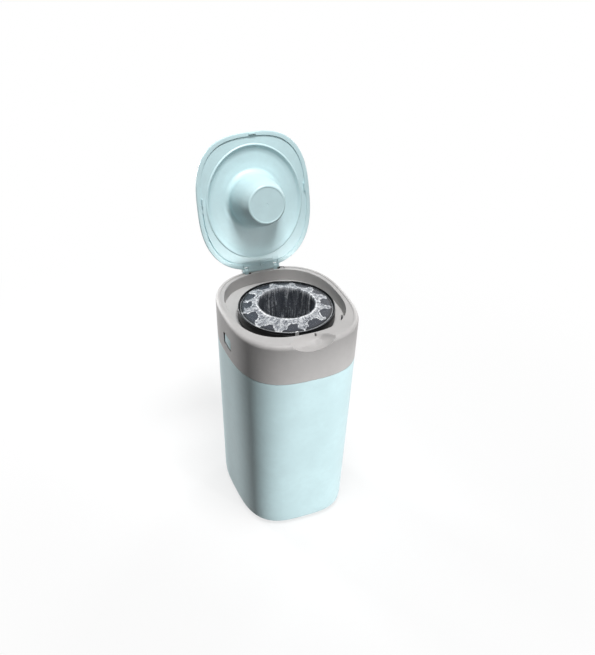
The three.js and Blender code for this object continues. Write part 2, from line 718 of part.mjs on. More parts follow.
function ratchetRing() {
  const pitch = (2 * Math.PI) / RATCHET_TEETH;
  const teeth = range(RATCHET_TEETH).flatMap((i) => [
    [i * pitch, RATCHET_TOOTH_ROOT],
    [(i + RATCHET_LEAN_SHARE) * pitch, RATCHET_TOOTH_TIP],
  ]);
  const outer = (z) => teeth.map(([t, r]) => onTurn(t, r, z));
  const inner = (z) => teeth.map(([t]) => onTurn(t, DRUM_BORE, z));
  return loft([outer(RATCHET_BOTTOM), outer(RATCHET_TOP), inner(RATCHET_TOP), inner(RATCHET_BOTTOM)], true);
}

// A pawl that clicks over the ratchet teeth.
function addPawl() {
  const corner = (angle, r) => onTurn(angle * DEGREE, r, 0);
  const tip = PAWL_TIP_ANGLE / DEGREE;
  const eye = PAWL_ANGLE / DEGREE;
  const corners = [
    corner(tip + PAWL_TIP_START, PAWL_TIP_IN),
    corner(tip + PAWL_TIP_END, PAWL_TIP_IN + GAP),
    corner(tip + PAWL_ARM_START, PAWL_ARM_IN),
    corner(eye - PAWL_EYE_LEAD, PAWL_ARM_IN + GAP),
    corner(eye - PAWL_EYE_LEAD, PAWL_PIVOT + PAWL_EYE / 2),
    corner(tip + PAWL_ARM_START, PAWL_ARM_OUT),
    corner(tip + PAWL_TIP_START, PAWL_TIP_OUT),
  ];
  const shape = new THREE.Shape(corners.map((p) => new THREE.Vector2(p.x, p.y)));
  const arm = new THREE.ExtrudeGeometry(shape, { depth: PAWL_THICK, bevelEnabled: false });
  arm.translate(0, 0, PAWL_TOP - PAWL_THICK);
  const ring = solid(plug(pawlPivot.x, pawlPivot.y, PAWL_EYE, PAWL_TOP - PAWL_THICK, PAWL_TOP));
  const made = cut(joined(ring, [arm]), [
    plug(pawlPivot.x, pawlPivot.y, SCREW_HOLE, PAWL_TOP - PAWL_THICK - GAP, PAWL_TOP + GAP, PEG_POINTS),
  ]);
  addPart("click_pawl", geometryOf(made), SLATE, 0.5);
}

// Grip crown: a ring with springy fingers that close under the cassette.
function addCrown() {
  const low = CROWN_TOP - CROWN_THICK;
  const outer = [[CROWN_RADIUS, low], [CROWN_RADIUS, CROWN_TOP]];
  const section = [...outer, [CROWN_BORE, CROWN_TOP], [CROWN_BORE, low]];
  const ring = turned(section, true);
  const fingers = range(FINGER_COUNT).map((i) => finger(((i + 1 / 2) / FINGER_COUNT) * 2 * Math.PI, low));
  const holes = postAngles.map(postAt).map((at) => screwHole(at, low - GAP, CROWN_TOP + GAP));
  addPart("grip_crown", geometryOf(cut(joined(solid(ring), fingers), holes)), GREY, 0.5);
}

function finger(turn, low) {
  const station = (r, width, z) => [
    new THREE.Vector3(r, -width / 2, z - FINGER_THICK),
    new THREE.Vector3(r, width / 2, z - FINGER_THICK),
    new THREE.Vector3(r, width / 2, z),
    new THREE.Vector3(r, -width / 2, z),
  ];
  const middleR = lerp(CROWN_BORE, FINGER_TIP_RADIUS, FINGER_BEND_SHARE);
  const middleWidth = lerp(FINGER_ROOT_WIDTH, FINGER_TIP_WIDTH, FINGER_BEND_SHARE);
  const top = low + FINGER_THICK;
  const rings = [
    station(CROWN_BORE + FINGER_ROOT_LAP, FINGER_ROOT_WIDTH, top),
    station(middleR, middleWidth, top - FINGER_TIP_DROP * FINGER_DROP_SHARE),
    station(FINGER_TIP_RADIUS, FINGER_TIP_WIDTH, top - FINGER_TIP_DROP),
  ];
  return loft(rings.map((ring) => ring.reverse()), false).rotateZ(turn).translate(0, TURN_Y, 0);
}

// Film cutter: a blade sunk in a narrow well under the deck.
function addCutter() {
  const top = DECK_TOP - DECK_THICK - GAP;
  const body = solid(cutterBar(CUTTER_BODY_LENGTH, CUTTER_BODY_WIDTH, top - CUTTER_BODY_DEPTH, top));
  const wellLength = CUTTER_SLOT_LENGTH - CUTTER_SLOT_WIDTH;
  const well = cutterBar(wellLength, CUTTER_SLOT_WIDTH, top - CUTTER_WELL_DEPTH, top + GAP);
  addPart("cutter_guard", geometryOf(cut(body, [well])), DARK_GREY, 0.5);
  const foot = top - CUTTER_WELL_DEPTH + GAP;
  const half = BLADE_THICK / 2;
  const shape = new THREE.Shape([
    new THREE.Vector2(-half, foot),
    new THREE.Vector2(half, foot),
    new THREE.Vector2(half, foot + BLADE_HEIGHT - BLADE_EDGE),
    new THREE.Vector2(0, foot + BLADE_HEIGHT),
    new THREE.Vector2(-half, foot + BLADE_HEIGHT - BLADE_EDGE),
  ]);
  const blade = new THREE.ExtrudeGeometry(shape, { depth: BLADE_LENGTH, bevelEnabled: false });
  blade.translate(0, 0, -BLADE_LENGTH / 2).rotateX(RIGHT_ANGLE).rotateZ(RIGHT_ANGLE);
  blade.rotateZ(CUTTER_TURN).translate(cutterPlace.x, cutterPlace.y, 0);
  addPart("cutter_blade", blade, STEEL, 0.25, 1);
}

// Cassette.
const CASE_BOTTOM = DRUM_BOTTOM + DRUM_FLOOR + GAP;
const TROUGH_FLOOR = CASE_BOTTOM + CASE_FLOOR;
const RING_FOOT = DECK_TOP + FILM_GAP + FLANGE_THICK + GAP + FILM_GAP;
const TROUGH_IN = THROAT_RADIUS + THROAT_WALL + TURN_CLEAR;
const capTop = (r) => lerp(THROAT_TOP, CAP_EDGE_Z, (r - THROAT_RADIUS) / (CAP_RADIUS - THROAT_RADIUS));

function addCase() {
  const lip = RING_RADIUS - RING_LIP;
  const wall = CASE_RADIUS - CASE_WALL;
  const profile = [
    [CASE_RADIUS, CASE_BOTTOM],
    [CASE_RADIUS, RING_FOOT],
    [RING_RADIUS - EDGE_ROUND, RING_FOOT],
    [RING_RADIUS, RING_FOOT + EDGE_ROUND],
    [RING_RADIUS, RING_TOP - EDGE_ROUND],
    [RING_RADIUS - EDGE_ROUND, RING_TOP],
    [lip, RING_TOP],
    [lip, RING_FOOT + CASE_STEP],
    [wall, RING_FOOT + CASE_STEP],
    [wall, TROUGH_FLOOR],
    [TROUGH_IN, TROUGH_FLOOR],
    [TROUGH_IN, CASE_BOTTOM],
  ];
  addPart("cassette_case", turned(profile, true), BLACK, 0.22);
}

function addCap() {
  const tube = THROAT_RADIUS + THROAT_WALL;
  const snap = tube + THROAT_WALL + TURN_CLEAR;
  const edge = CAP_RADIUS - EDGE_ROUND;
  const profile = [
    [tube, THROAT_BOTTOM],
    [tube, CASE_BOTTOM - THROAT_SNAP],
    [snap, CASE_BOTTOM - THROAT_SNAP / 2],
    [snap, CASE_BOTTOM - GAP],
    [tube, CASE_BOTTOM - GAP],
    [tube, THROAT_TOP - THROAT_WALL * 2],
    [tube + THROAT_WALL, capTop(tube + THROAT_WALL) - THROAT_WALL],
    [edge, capTop(edge) - THROAT_WALL],
    [CAP_RADIUS, CAP_EDGE_Z - EDGE_ROUND],
    [CAP_RADIUS, CAP_EDGE_Z],
    [tube + THROAT_WALL, capTop(tube + THROAT_WALL)],
    [tube - EDGE_ROUND, THROAT_TOP - EDGE_ROUND / 2],
    [THROAT_RADIUS, THROAT_TOP - THROAT_WALL],
    [THROAT_RADIUS, THROAT_BOTTOM],
  ];
  addPart("cassette_cap", turned(profile, true), SLATE, 0.3);
}

function addPack() {
  const inner = TROUGH_IN + PACK_INSET;
  const outer = CASE_RADIUS - CASE_WALL - FILM_GAP;
  const low = TROUGH_FLOOR + GAP;
  const drop = THROAT_WALL + PACK_INSET;
  const profile = [[outer, low], [outer, capTop(outer) - drop], [inner, capTop(inner) - drop], [inner, low]];
  addPart("film_pack", turned(profile, true), FILM_TINT, 0.5);
}

function addSleeve() {
  const near = FILM_GAP;
  const far = FILM_GAP + FILM;
  const bend = THROAT_RADIUS + THROAT_WALL * 2;
  const out = CAP_RADIUS + FILM_GAP;
  const profile = [
    [THROAT_RADIUS - near, THROAT_BOTTOM],
    [THROAT_RADIUS - near, THROAT_TOP - THROAT_WALL],
    [THROAT_RADIUS + THROAT_WALL / 2, THROAT_TOP + near],
    [bend, capTop(bend) + near],
    [out, capTop(CAP_RADIUS) + near + FILM_GAP / 2],
    [out, CAP_EDGE_Z - FILM_SLOT_DEPTH],
    [out + FILM, CAP_EDGE_Z - FILM_SLOT_DEPTH],
    [out + FILM, capTop(CAP_RADIUS) + far],
    [CAP_RADIUS - FILM, capTop(CAP_RADIUS) + far],
    [bend, capTop(bend) + far],
    [THROAT_RADIUS, THROAT_TOP + far],
    [THROAT_RADIUS - far, THROAT_TOP - THROAT_WALL],
    [THROAT_RADIUS - far, THROAT_BOTTOM],
  ];
  addPart("film_sleeve", turned(profile, true), FILM_TINT, 0.3, 0, 0.7);
}

function addTail() {
  const top = THROAT_BOTTOM - FILM_GAP;
  const at = (share) => top - (top - TAIL_BOTTOM) * share;
  const mouth = THROAT_RADIUS - FILM_GAP;
  const wide = {
    end: TAIL_RADIUS,
    skirt: TAIL_RADIUS,
    gather: TAIL_RADIUS,
    belowKnot: NECK_RADIUS,
    knotLow: KNOT_RADIUS,
    knotHigh: KNOT_RADIUS,
    twist: NECK_RADIUS,
    funnel: NECK_RADIUS,
    belly: mouth,
    mouth: mouth,
  };
  const outer = Object.entries(TAIL_OUTER_SHARES).map(([name, [down, out]]) => [wide[name] * out, at(down)]);
  const inner = ["mouth", "belly", "funnel"].map((name) => {
    const [down, out] = TAIL_OUTER_SHARES[name];
    return [wide[name] * out - FILM, at(down)];
  });
  const point = [NECK_RADIUS * FUNNEL_POINT_SHARES[1], at(FUNNEL_POINT_SHARES[0])];
  const profile = [...outer, [mouth, top], [mouth - FILM, top], ...inner, point];
  addPart("film_tail", turned(profile, false), FILM_TINT, 0.3, 0, 0.7);
}

// Each hinge pin runs from PIN_FROM in the barrel out to a sunk head on PIN_SEAT.
const PIN_FROM = LUG_INNER - LUG_GAP - PIN_IN_BARREL;
const PIN_SEAT = BARREL_HALF - PIN_HEAD_THICK;

// Lid, built closed and turned open about its hinge.
const opened = new THREE.Matrix4()
  .makeTranslation(0, HINGE_Y, HINGE_Z)
  .multiply(new THREE.Matrix4().makeRotationX(LID_OPEN))
  .multiply(new THREE.Matrix4().makeTranslation(0, -HINGE_Y, -HINGE_Z));

function coverShell() {
  const wide = RIM_WIDTH / 2;
  const rise = LID_CROWN - LID_EDGE - LID_SHOULDER_RISE;
  const dome = (share) => LID_EDGE + LID_SHOULDER_RISE + rise * (1 - share * share);
  const under = DOME_UNDER_SHARES.map((share) => lidRing(dome(share) - LID_WALL, wide * (1 - share)));
  const over = DOME_OVER_SHARES.map((share) => lidRing(dome(share), wide * (1 - share)));
  return loft(
    [
      ...under,
      lidRing(LID_EDGE, LID_WALL),
      lidRing(LID_BOTTOM + LID_FLANGE_THICK, LID_WALL),
      lidRing(LID_BOTTOM + LID_FLANGE_THICK, LID_FLANGE),
      lidRing(LID_BOTTOM, LID_FLANGE),
      lidRing(LID_BOTTOM, 0),
      lidRing(LID_EDGE, 0),
      lidRing(LID_EDGE + LID_SHOULDER_RISE * LID_ROUND_SHARES.rise, LID_SHOULDER * LID_ROUND_SHARES.inset),
      lidRing(LID_EDGE + LID_SHOULDER_RISE, LID_SHOULDER),
      ...over,
    ],
    false,
  );
}

const lugNotches = lugSides.map(([x0, x1]) => {
  const front = HINGE_Y - LUG_RADIUS - LUG_ROOM;
  return block(x0 - LUG_GAP, x1 + LUG_GAP, front, RIM_DEPTH, HEAD_BOTTOM, LID_CROWN + LUG_ROOM);
});

function addCover() {
  const tabTop = LID_BOTTOM + LID_FLANGE_THICK / 2;
  const frontTab = tab(FRONT_TAB_X, FRONT_TAB_Y, TAB_HALF, TAB_THICK / 2, tabTop);
  const barrel = hingeBar(-BARREL_HALF, BARREL_HALF, BARREL_RADIUS);
  const made = cut(joined(solid(coverShell()), [barrel, frontTab]), [
    ...lugNotches,
    hingeBar(-RIM_WIDTH, -PIN_FROM, PIN_HOLE, PEG_POINTS),
    hingeBar(PIN_FROM, RIM_WIDTH, PIN_HOLE, PEG_POINTS),
    hingeBar(-RIM_WIDTH, GAP - PIN_SEAT, PIN_HEAD_ROOM, SMALL_POINTS),
    hingeBar(PIN_SEAT - GAP, RIM_WIDTH, PIN_HEAD_ROOM, SMALL_POINTS),
  ]);
  addPart("lid_cover", geometryOf(made).applyMatrix4(opened), AQUA, 0.34);
}

// The plunger's outline at each depth, from the bead in to the tip.
const tipRing = (inset, depth) => [PLUNGER_RADIUS - inset, PLUNGER_RADIUS - inset, TURN_Y, depth];
const beadRing = (grow, depth) => [BEAD_HALF_WIDTH + grow, BEAD_HALF_LENGTH + grow, 0, depth];
const dishRings = DISH_SHARES.map(([a, b, y, rise]) => [
  BEAD_HALF_WIDTH * a,
  BEAD_HALF_LENGTH * b,
  TURN_Y * y,
  -DISH_RISE * rise,
]);
const postRings = [
  ...dishRings,
  [ROOT_RADIUS, ROOT_RADIUS, TURN_Y, -ROOT_RISE],
  [FLARE_RADIUS, FLARE_RADIUS, TURN_Y, FLARE_DEPTH],
  [BOSS_RING_RADIUS, BOSS_RING_RADIUS, TURN_Y, BOSS_RING_DEPTH],
  [POST_TOP_RADIUS, POST_TOP_RADIUS, TURN_Y, POST_TOP_DEPTH],
  tipRing(0, PLUNGER_DEPTH - PLUNGER_ROUND),
];
const plungerRings = [
  beadRing(BEAD_HALF_THICK, 0),
  beadRing(0, BEAD_DROP),
  beadRing(-BEAD_HALF_THICK, 0),
  ...postRings,
  tipRing(PLUNGER_ROUND / 3, PLUNGER_DEPTH - PLUNGER_ROUND / 3),
  tipRing(PLUNGER_ROUND, PLUNGER_DEPTH),
];

function linerShell() {
  const lower = ([a, b, y, depth]) => ovalRing(LINER_FACE - depth, a, b, y);
  const upper = ([a, b, y, depth]) => ovalRing(LINER_FACE - depth + LID_WALL, a - LID_WALL, b - LID_WALL, y);
  const inner = [...postRings, tipRing(PLUNGER_ROUND, PLUNGER_DEPTH)];
  return loft(
    [
      ...plungerRings.map(lower).reverse(),
      lidRing(LINER_FACE, LINER_INSET),
      lidRing(LINER_FACE + LID_WALL, LINER_INSET),
      ...inner.map(upper),
    ],
    false,
  );
}

// A short tab that hangs from the lid's underside.
function tab(x, y, halfX, halfY, top) {
  return block(x - halfX, x + halfX, y - halfY, y + halfY, LINER_FACE - TAB_DEPTH, top);
}

function addLiner() {
  const top = LINER_FACE + LID_WALL / 2;
  const tabs = [-1, 1].map((side) => {
    return tab(side * SIDE_TAB_X, SIDE_TAB_Y, TAB_THICK / 2, TAB_HALF, top);
  });
  const clear = hingeBar(-RIM_WIDTH, RIM_WIDTH, BARREL_RADIUS + GAP, SMALL_POINTS);
  const made = cut(joined(solid(linerShell()), tabs), [...lugNotches, clear]);
  addPart("lid_liner", geometryOf(made).applyMatrix4(opened), AQUA, 0.34);
}

function addPins() {
  for (const [name, side] of [["hinge_pin_left", -1], ["hinge_pin_right", 1]]) {
    const inner = PIN_FROM + GAP;
    const end = PIN_SEAT + PIN_HEAD_THICK;
    const profile = [[PIN_RADIUS, inner], [PIN_RADIUS, PIN_SEAT], [PIN_HEAD, PIN_SEAT], [PIN_HEAD, end]];
    const rings = profile.map(([radius, x]) => hingeRing(side * x, radius, PEG_POINTS));
    addPart(name, loft(side < 0 ? rings.reverse() : rings, false), STEEL, 0.3, 0.9);
  }
}

addTub();
addCollar();
addDeck();
addScrews();
addTurntable();
addPawl();
addCrown();
addCutter();
addCase();
addCap();
addPack();
addSleeve();
addTail();
addCover();
addLiner();
addPins();

export default group;
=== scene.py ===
"""A twist-type nappy bin: fine shells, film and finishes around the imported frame.

Lengths are written in millimetres and scaled to metres where a mesh is made. +Z is up, the front
is at -Y and the origin is on the floor, as in the frame.
"""
import math

import bpy
import numpy as np
from mathutils import Matrix, Vector, noise


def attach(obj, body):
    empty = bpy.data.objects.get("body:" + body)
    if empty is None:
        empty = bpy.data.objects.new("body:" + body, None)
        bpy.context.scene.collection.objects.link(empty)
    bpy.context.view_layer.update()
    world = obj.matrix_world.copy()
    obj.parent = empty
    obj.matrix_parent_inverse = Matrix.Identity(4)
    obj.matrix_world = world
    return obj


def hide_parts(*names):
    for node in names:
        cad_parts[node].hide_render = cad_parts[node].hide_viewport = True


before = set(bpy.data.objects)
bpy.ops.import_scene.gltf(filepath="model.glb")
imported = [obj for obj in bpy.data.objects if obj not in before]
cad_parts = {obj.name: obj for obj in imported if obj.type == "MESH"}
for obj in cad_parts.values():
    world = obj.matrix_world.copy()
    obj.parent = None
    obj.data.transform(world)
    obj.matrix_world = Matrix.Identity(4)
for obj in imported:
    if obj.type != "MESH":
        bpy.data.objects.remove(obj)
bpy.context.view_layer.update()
MM = 0.001

# Sizes, in millimetres
RIM_WIDTH, RIM_DEPTH, RIM_TOP = 240, 272, 436
BASE_SHARES = (0.86, 0.91)
BASE_POWER, FRONT_POWER, BACK_POWER = 3.2, 2.82, 2.56
HEAD_BOTTOM = 354
TUB_WALL, TUB_FLOOR, BASE_ROUND = 2.8, 3.4, 13
PLINTH_TOP, PLINTH_STEP = 20, 0.8
SHOULDER, NECK_INSET, NECK_TOP = 353.7, 3.4, 403
COLLAR_WALL, RIM_ROUND = 2.8, 8
OPENING_HALF_WIDTH, OPENING_POWER = 105, 2.5
OPENING_BACK, OPENING_FRONT = 122, 103
LEDGE_Z, DECK_TOP = 434.4, 411
TURN_Y = -5
RING_RADIUS, RING_TOP, RING_FOOT = 89.04, 433.5, 413.9
CASE_RADIUS, CASE_BOTTOM, CASE_WALL = 81.94, 383.5, 1.8
THROAT_RADIUS, THROAT_TOP, THROAT_BOTTOM = 52.03, 438.5, 374
CAP_RADIUS, CAP_EDGE_Z = 84.24, 430.6
DRUM_RADIUS, DRUM_TOP, DRUM_BOTTOM = 84.94, 413.2, 380.2
HINGE_Y, HINGE_Z = 127.8, 439.6
BARREL_HALF, BARREL_RADIUS, LUG_RADIUS = 37, 4.6, 4.8
PIN_HOLE, PIN_HEAD_HOLE, SCREW_HOLE = 1.9, 3.2, 1.8
LID_INSET, LID_BOTTOM, LID_EDGE, LID_CROWN, LID_WALL = 9.3, 434.9, 439.5, 453, 2.2
LINER_FACE = 436.8
LID_OPEN = math.radians(-106)
GAP = 0.3

# Hook pockets in the rim: sides, front and back, and the height below which their walls get painted
# shade.
HOOK_POCKETS = [
    (-33.6, -24.9, 121.3, 122.8, 433.7),
    (-25.4, -20.4, 121.9, 127.2, 433.7),
    (28.6, 33.9, 121.1, 122.7, 433.7),
    (33.4, 38.4, 121.7, 127.0, 433.7),
    (38.0, 47.0, 123.9, 127.8, 435.3),
    (45.2, 46.7, 118.8, 125.0, 434.2),
]
POCKET_FLOOR, ABOVE_RIM = 424, 445

# Outlines


def ramp(value, start, end):
    """0 at start, 1 at end, straight between."""
    return np.clip((value - start) / (end - start), 0, 1)


def bell(value, centre, width):
    return np.exp(-(((value - centre) / width) ** 2))


def polar(t, a, b, power):
    """Distance from the middle to a superellipse with half-axes a and b, in direction t."""
    return ((np.abs(np.cos(t)) / a) ** power + (np.abs(np.sin(t)) / b) ** power) ** (-1 / power)


def even_angles(count):
    return np.arange(count) * 2 * math.pi / count


def dense_angles(count, middle, half, extra):
    """Even angles with a closer run of them round middle."""
    even = even_angles(count)
    away = np.abs((even - middle + math.pi) % (2 * math.pi) - math.pi) > half
    near = (middle + np.linspace(-half, half, extra)) % (2 * math.pi)
    return np.sort(np.concatenate([even[away], near]))


FRONT = math.radians(270)
SHELL_ANGLES = dense_angles(240, FRONT, math.radians(22), 81)
ROUND_ANGLES = even_angles(192)


def points(t, r, z, y=0.0):
    z = np.broadcast_to(np.asarray(z, float), t.shape)
    return np.stack([r * np.cos(t), r * np.sin(t) + y, z], axis=1)


def end_power(t):
    return np.where(np.sin(t) < 0, FRONT_POWER, BACK_POWER)


def body_ring(z, inset, t=SHELL_ANGLES):
    up = z / RIM_TOP
    a = (BASE_SHARES[0] + (1 - BASE_SHARES[0]) * up) * RIM_WIDTH / 2 - inset
    b = (BASE_SHARES[1] + (1 - BASE_SHARES[1]) * up) * RIM_DEPTH / 2 - inset
    power = BASE_POWER + (end_power(t) - BASE_POWER) * up
    return points(t, polar(t, a, b, power), z)


def neck_ring(z, inset, t=SHELL_ANGLES):
    ring = body_ring(HEAD_BOTTOM, NECK_INSET + inset, t)
    ring[:, 2] = z
    return ring


def opening_ring(z, grow):
    t = SHELL_ANGLES
    b = np.where(np.sin(t) < 0, OPENING_FRONT, OPENING_BACK) + grow
    return points(t, polar(t, OPENING_HALF_WIDTH + grow, b, OPENING_POWER), z)


def lid_ring(z, inset):
    t = SHELL_ANGLES
    a, b = [side / 2 - LID_INSET - inset for side in (RIM_WIDTH, RIM_DEPTH)]
    return points(t, polar(t, a, b, end_power(t)), z)


def filleted(corners, steps=6):
    """A line through corners (p, q, radius), each rounded by its own radius."""
    out = []
    for i, (p, q, radius) in enumerate(corners):
        here = np.array([p, q], float)
        if radius <= 0 or i in (0, len(corners) - 1):
            out.append(here)
            continue
        before = np.array(corners[i - 1][:2], float) - here
        after = np.array(corners[i + 1][:2], float) - here
        before, after = before / np.linalg.norm(before), after / np.linalg.norm(after)
        half = math.acos(max(-1, min(1, float(before @ after)))) / 2
        inward = (before + after) / np.linalg.norm(before + after)
        centre = here + inward * radius / math.sin(half)
        reach = radius / math.tan(half)
        start, end = here + before * reach - centre, here + after * reach - centre
        sweep = math.atan2(start[0] * end[1] - start[1] * end[0], float(start @ end))
        for k in range(steps + 1):
            c, s = math.cos(sweep * k / steps), math.sin(sweep * k / steps)
            out.append(centre + (start[0] * c - start[1] * s, start[0] * s + start[1] * c))
    return [tuple(p) for p in out]


def closed_fillets(corners, steps=6):
    """The same for a line that closes on itself."""
    around = [corners[-1], *corners, corners[0]]
    out = []
    for i in range(1, len(corners) + 1):
        out += filleted(around[i - 1 : i + 2], steps)[1:-1] or [around[i][:2]]
    return out


def rounded_box(sides, heights, radius, steps=5):
    """A box with rounded corners, as pairs of side and height."""
    (low, high), (foot, top) = sides, heights
    corners = [(low, foot), (high, foot), (high, top), (low, top)]
    return closed_fillets([(*corner, radius) for corner in corners], steps)


def stepped(line, step):
    """Adds points to a line, so that none lie further apart than step."""
    out = [line[0]]
    for start, end in zip(line, line[1:]):
        count = max(1, math.ceil(math.dist(start, end) / step))
        way = np.array(end) - np.array(start)
        out += [tuple(np.array(start) + way * k / count) for k in range(1, count + 1)]
    return out


# Meshes


def linked(name, data):
    """A new object in the scene's collection."""
    made = bpy.data.objects.new(name, data)
    bpy.context.scene.collection.objects.link(made)
    return made


def mesh_object(name, vertices, faces):
    mesh = bpy.data.meshes.new(name)
    mesh.from_pydata((np.asarray(vertices) * MM).tolist(), [], faces)
    mesh.update()
    return linked(name, mesh)


def loft(name, rings, loop=False, close=True):
    """A surface through rings of points. A loop closes on itself; other ends get a fan."""
    rings = [np.asarray(r, float) for r in rings]
    count, total = len(rings[0]), len(rings)
    vertices = np.concatenate(rings)
    faces = []
    for i in range(total if loop else total - 1):
        low, high = i * count, ((i + 1) % total) * count
        for j in range(count):
            k = (j + 1) % count
            faces.append((low + j, low + k, high + k, high + j))
    if close and not loop:
        first, last = len(vertices), (total - 1) * count
        vertices = np.concatenate([vertices, [rings[0].mean(0)], [rings[-1].mean(0)]])
        for j in range(count):
            k = (j + 1) % count
            faces += [(first, k, j), (first + 1, last + j, last + k)]
    return mesh_object(name, vertices, faces)


def turned(name, line):
    """A turned shape about the turning axis, from pairs of radius and height."""
    return loft(name, [points(ROUND_ANGLES, r, z, TURN_Y) for r, z in line], loop=True)


def block(low, high):
    (x0, y0, z0), (x1, y1, z1) = low, high
    corners = [(x0, y0), (x1, y0), (x1, y1), (x0, y1)]
    return loft("tool", [[(x, y, z) for x, y in corners] for z in (z0, z1)])


def bar_along_x(x0, x1, outline):
    """A prism along X from x0 to x1; outline holds pairs of y and z, counterclockwise from +X."""
    return loft("tool", [[(x, y, z) for y, z in outline] for x in (x0, x1)])


def hinge_outline(radius, count=48):
    t = even_angles(count)
    return [(HINGE_Y + radius * math.cos(a), HINGE_Z + radius * math.sin(a)) for a in t]


def peg(x, y, radius, z0, z1, count=32):
    return loft("tool", [points(even_angles(count), radius, z, y) + (x, 0, 0) for z in (z0, z1)])


def plain(made):
    """Turns what the modifiers make into the object's own mesh."""
    depsgraph = bpy.context.evaluated_depsgraph_get()
    mesh = bpy.data.meshes.new_from_object(made.evaluated_get(depsgraph))
    made.modifiers.clear()
    made.data = mesh


def combine(made, tools, operation):
    """Applies a boolean with each tool, and removes the tools."""
    for tool in tools:
        modifier = made.modifiers.new("boolean", "BOOLEAN")
        modifier.operation = operation
        modifier.object = tool
        modifier.solver = "MANIFOLD"
    plain(made)
    for tool in tools:
        bpy.data.objects.remove(tool)


def coat(made, material):
    made.data.materials.clear()
    made.data.materials.append(material)


def place(made, body, material, replaced=(), degrees=32):
    """Finishes a piece: its shading, finish, body and what it stands for."""
    for polygon in made.data.polygons:
        polygon.use_smooth = True
    made.data.set_sharp_from_angle(angle=math.radians(degrees))
    coat(made, material)
    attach(made, body)
    if replaced:
        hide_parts(*replaced)


# Finishes


def arithmetic(operation, swapped=False):
    """A method that adds a Math node; swapped puts the other number first."""

    def method(self, other):
        return self.owner.maths(operation, *((other, self) if swapped else (self, other)))

    return method


class Value:
    """A number in a node tree. Arithmetic on it adds Math nodes."""

    __add__ = __radd__ = arithmetic("ADD")
    __mul__ = __rmul__ = arithmetic("MULTIPLY")
    __sub__, __rsub__ = arithmetic("SUBTRACT"), arithmetic("SUBTRACT", swapped=True)
    __pow__ = arithmetic("POWER")

    def __init__(self, owner, socket):
        self.owner, self.socket = owner, socket

    def above(self, low, high):
        """0 below low, 1 above high, smooth between."""
        return self.owner.spread(self, low, high)

    def size(self):
        return self.owner.maths("ABSOLUTE", self)


class Tree:
    """A node tree and the helpers that every kind of tree uses."""

    def __init__(self, tree):
        self.tree = tree
        tree.nodes.clear()

    def add(self, kind, settings=None, inputs=None):
        node = self.tree.nodes.new(kind)
        for key, value in (settings or {}).items():
            setattr(node, key, value)
        for key, value in (inputs or {}).items():
            if isinstance(value, Value):
                value = value.socket
            if isinstance(value, bpy.types.NodeSocket):
                self.tree.links.new(value, node.inputs[key])
            else:
                node.inputs[key].default_value = value
        return node

    def value(self, kind, settings=None, inputs=None, output=0):
        return Value(self, self.add(kind, settings, inputs).outputs[output])

    def maths(self, operation, *values):
        return self.value("ShaderNodeMath", {"operation": operation}, dict(enumerate(values)))

    def vector(self, x=0.0, y=0.0, z=0.0):
        return self.add("ShaderNodeCombineXYZ", None, {0: x, 1: y, 2: z}).outputs[0]

    def seen(self):
        """1 for rays from the camera, also by way of gloss or clear film."""
        rays = self.add("ShaderNodeLightPath").outputs
        seen = self.maths("MAXIMUM", rays["Is Camera Ray"], rays["Is Glossy Ray"])
        return self.maths("MAXIMUM", seen, rays["Is Transmission Ray"])


class Finish(Tree):
    """One material and the helpers that build its nodes."""

    def __init__(self, name):
        self.material = bpy.data.materials.new(name)
        self.material.use_nodes = True
        super().__init__(self.material.node_tree)
        self.place = self.add("ShaderNodeTexCoord").outputs["Object"]

    def spread(self, value, low, high, to_low=0.0, to_high=1.0):
        inputs = {"Value": value, "From Min": low, "From Max": high}
        inputs |= {"To Min": to_low, "To Max": to_high}
        return self.value("ShaderNodeMapRange", {"interpolation_type": "SMOOTHSTEP"}, inputs)

    def cloud(self, scale, detail=2.0, rough=0.5, vector=None, distort=0.0):
        """Noise with so many lumps to the metre."""
        inputs = {"Scale": scale, "Detail": detail, "Roughness": rough, "Distortion": distort}
        inputs["Vector"] = vector or self.place
        return self.value("ShaderNodeTexNoise", None, inputs, "Fac")

    def cells(self, scale):
        inputs = {"Scale": scale, "Vector": self.place}
        return self.value("ShaderNodeTexVoronoi", None, inputs, "Distance")

    def mapped(self, location=(0, 0, 0), turn=(0, 0, 0), scale=(1, 1, 1)):
        inputs = {"Vector": self.place, "Location": location, "Rotation": turn, "Scale": scale}
        return self.add("ShaderNodeMapping", None, inputs).outputs[0]

    def swirls(self, scale, detail, rough, flatter):
        """Fine lines that lie level, as on a turned and polished face."""
        vector = self.mapped(location=(0, -TURN_Y * MM, 0), scale=(1, 1, flatter))
        return self.cloud(scale, detail, rough, vector)

    def axes(self, vector=None):
        node = self.add("ShaderNodeSeparateXYZ", None, {0: vector or self.place})
        return [Value(self, socket) for socket in node.outputs]

    def from_axis(self):
        """x, y, z and radius, measured from the turning axis."""
        x, y, z = self.axes()
        y = y - TURN_Y * MM
        return x, y, z, (x * x + y * y) ** 0.5

    def blend(self, share, first, second):
        """A colour between two colours."""
        node = self.add("ShaderNodeMix", {"data_type": "RGBA"}, {0: share, 6: first, 7: second})
        return node.outputs[2]

    def bump(self, height, distance, strength=1.0):
        inputs = {"Height": height, "Distance": distance, "Strength": strength}
        return self.add("ShaderNodeBump", None, inputs).outputs[0]

    def surface(self, tone, rough, normal, gloss=0.5, **others):
        inputs = {"Base Color": tone, "Roughness": rough, "Normal": normal}
        inputs |= {"Specular IOR Level": gloss, **others}
        shader = self.add("ShaderNodeBsdfPrincipled", None, inputs)
        return self.finish(shader.outputs[0])

    def finish(self, socket):
        self.add("ShaderNodeOutputMaterial", None, {"Surface": socket})
        return self.material


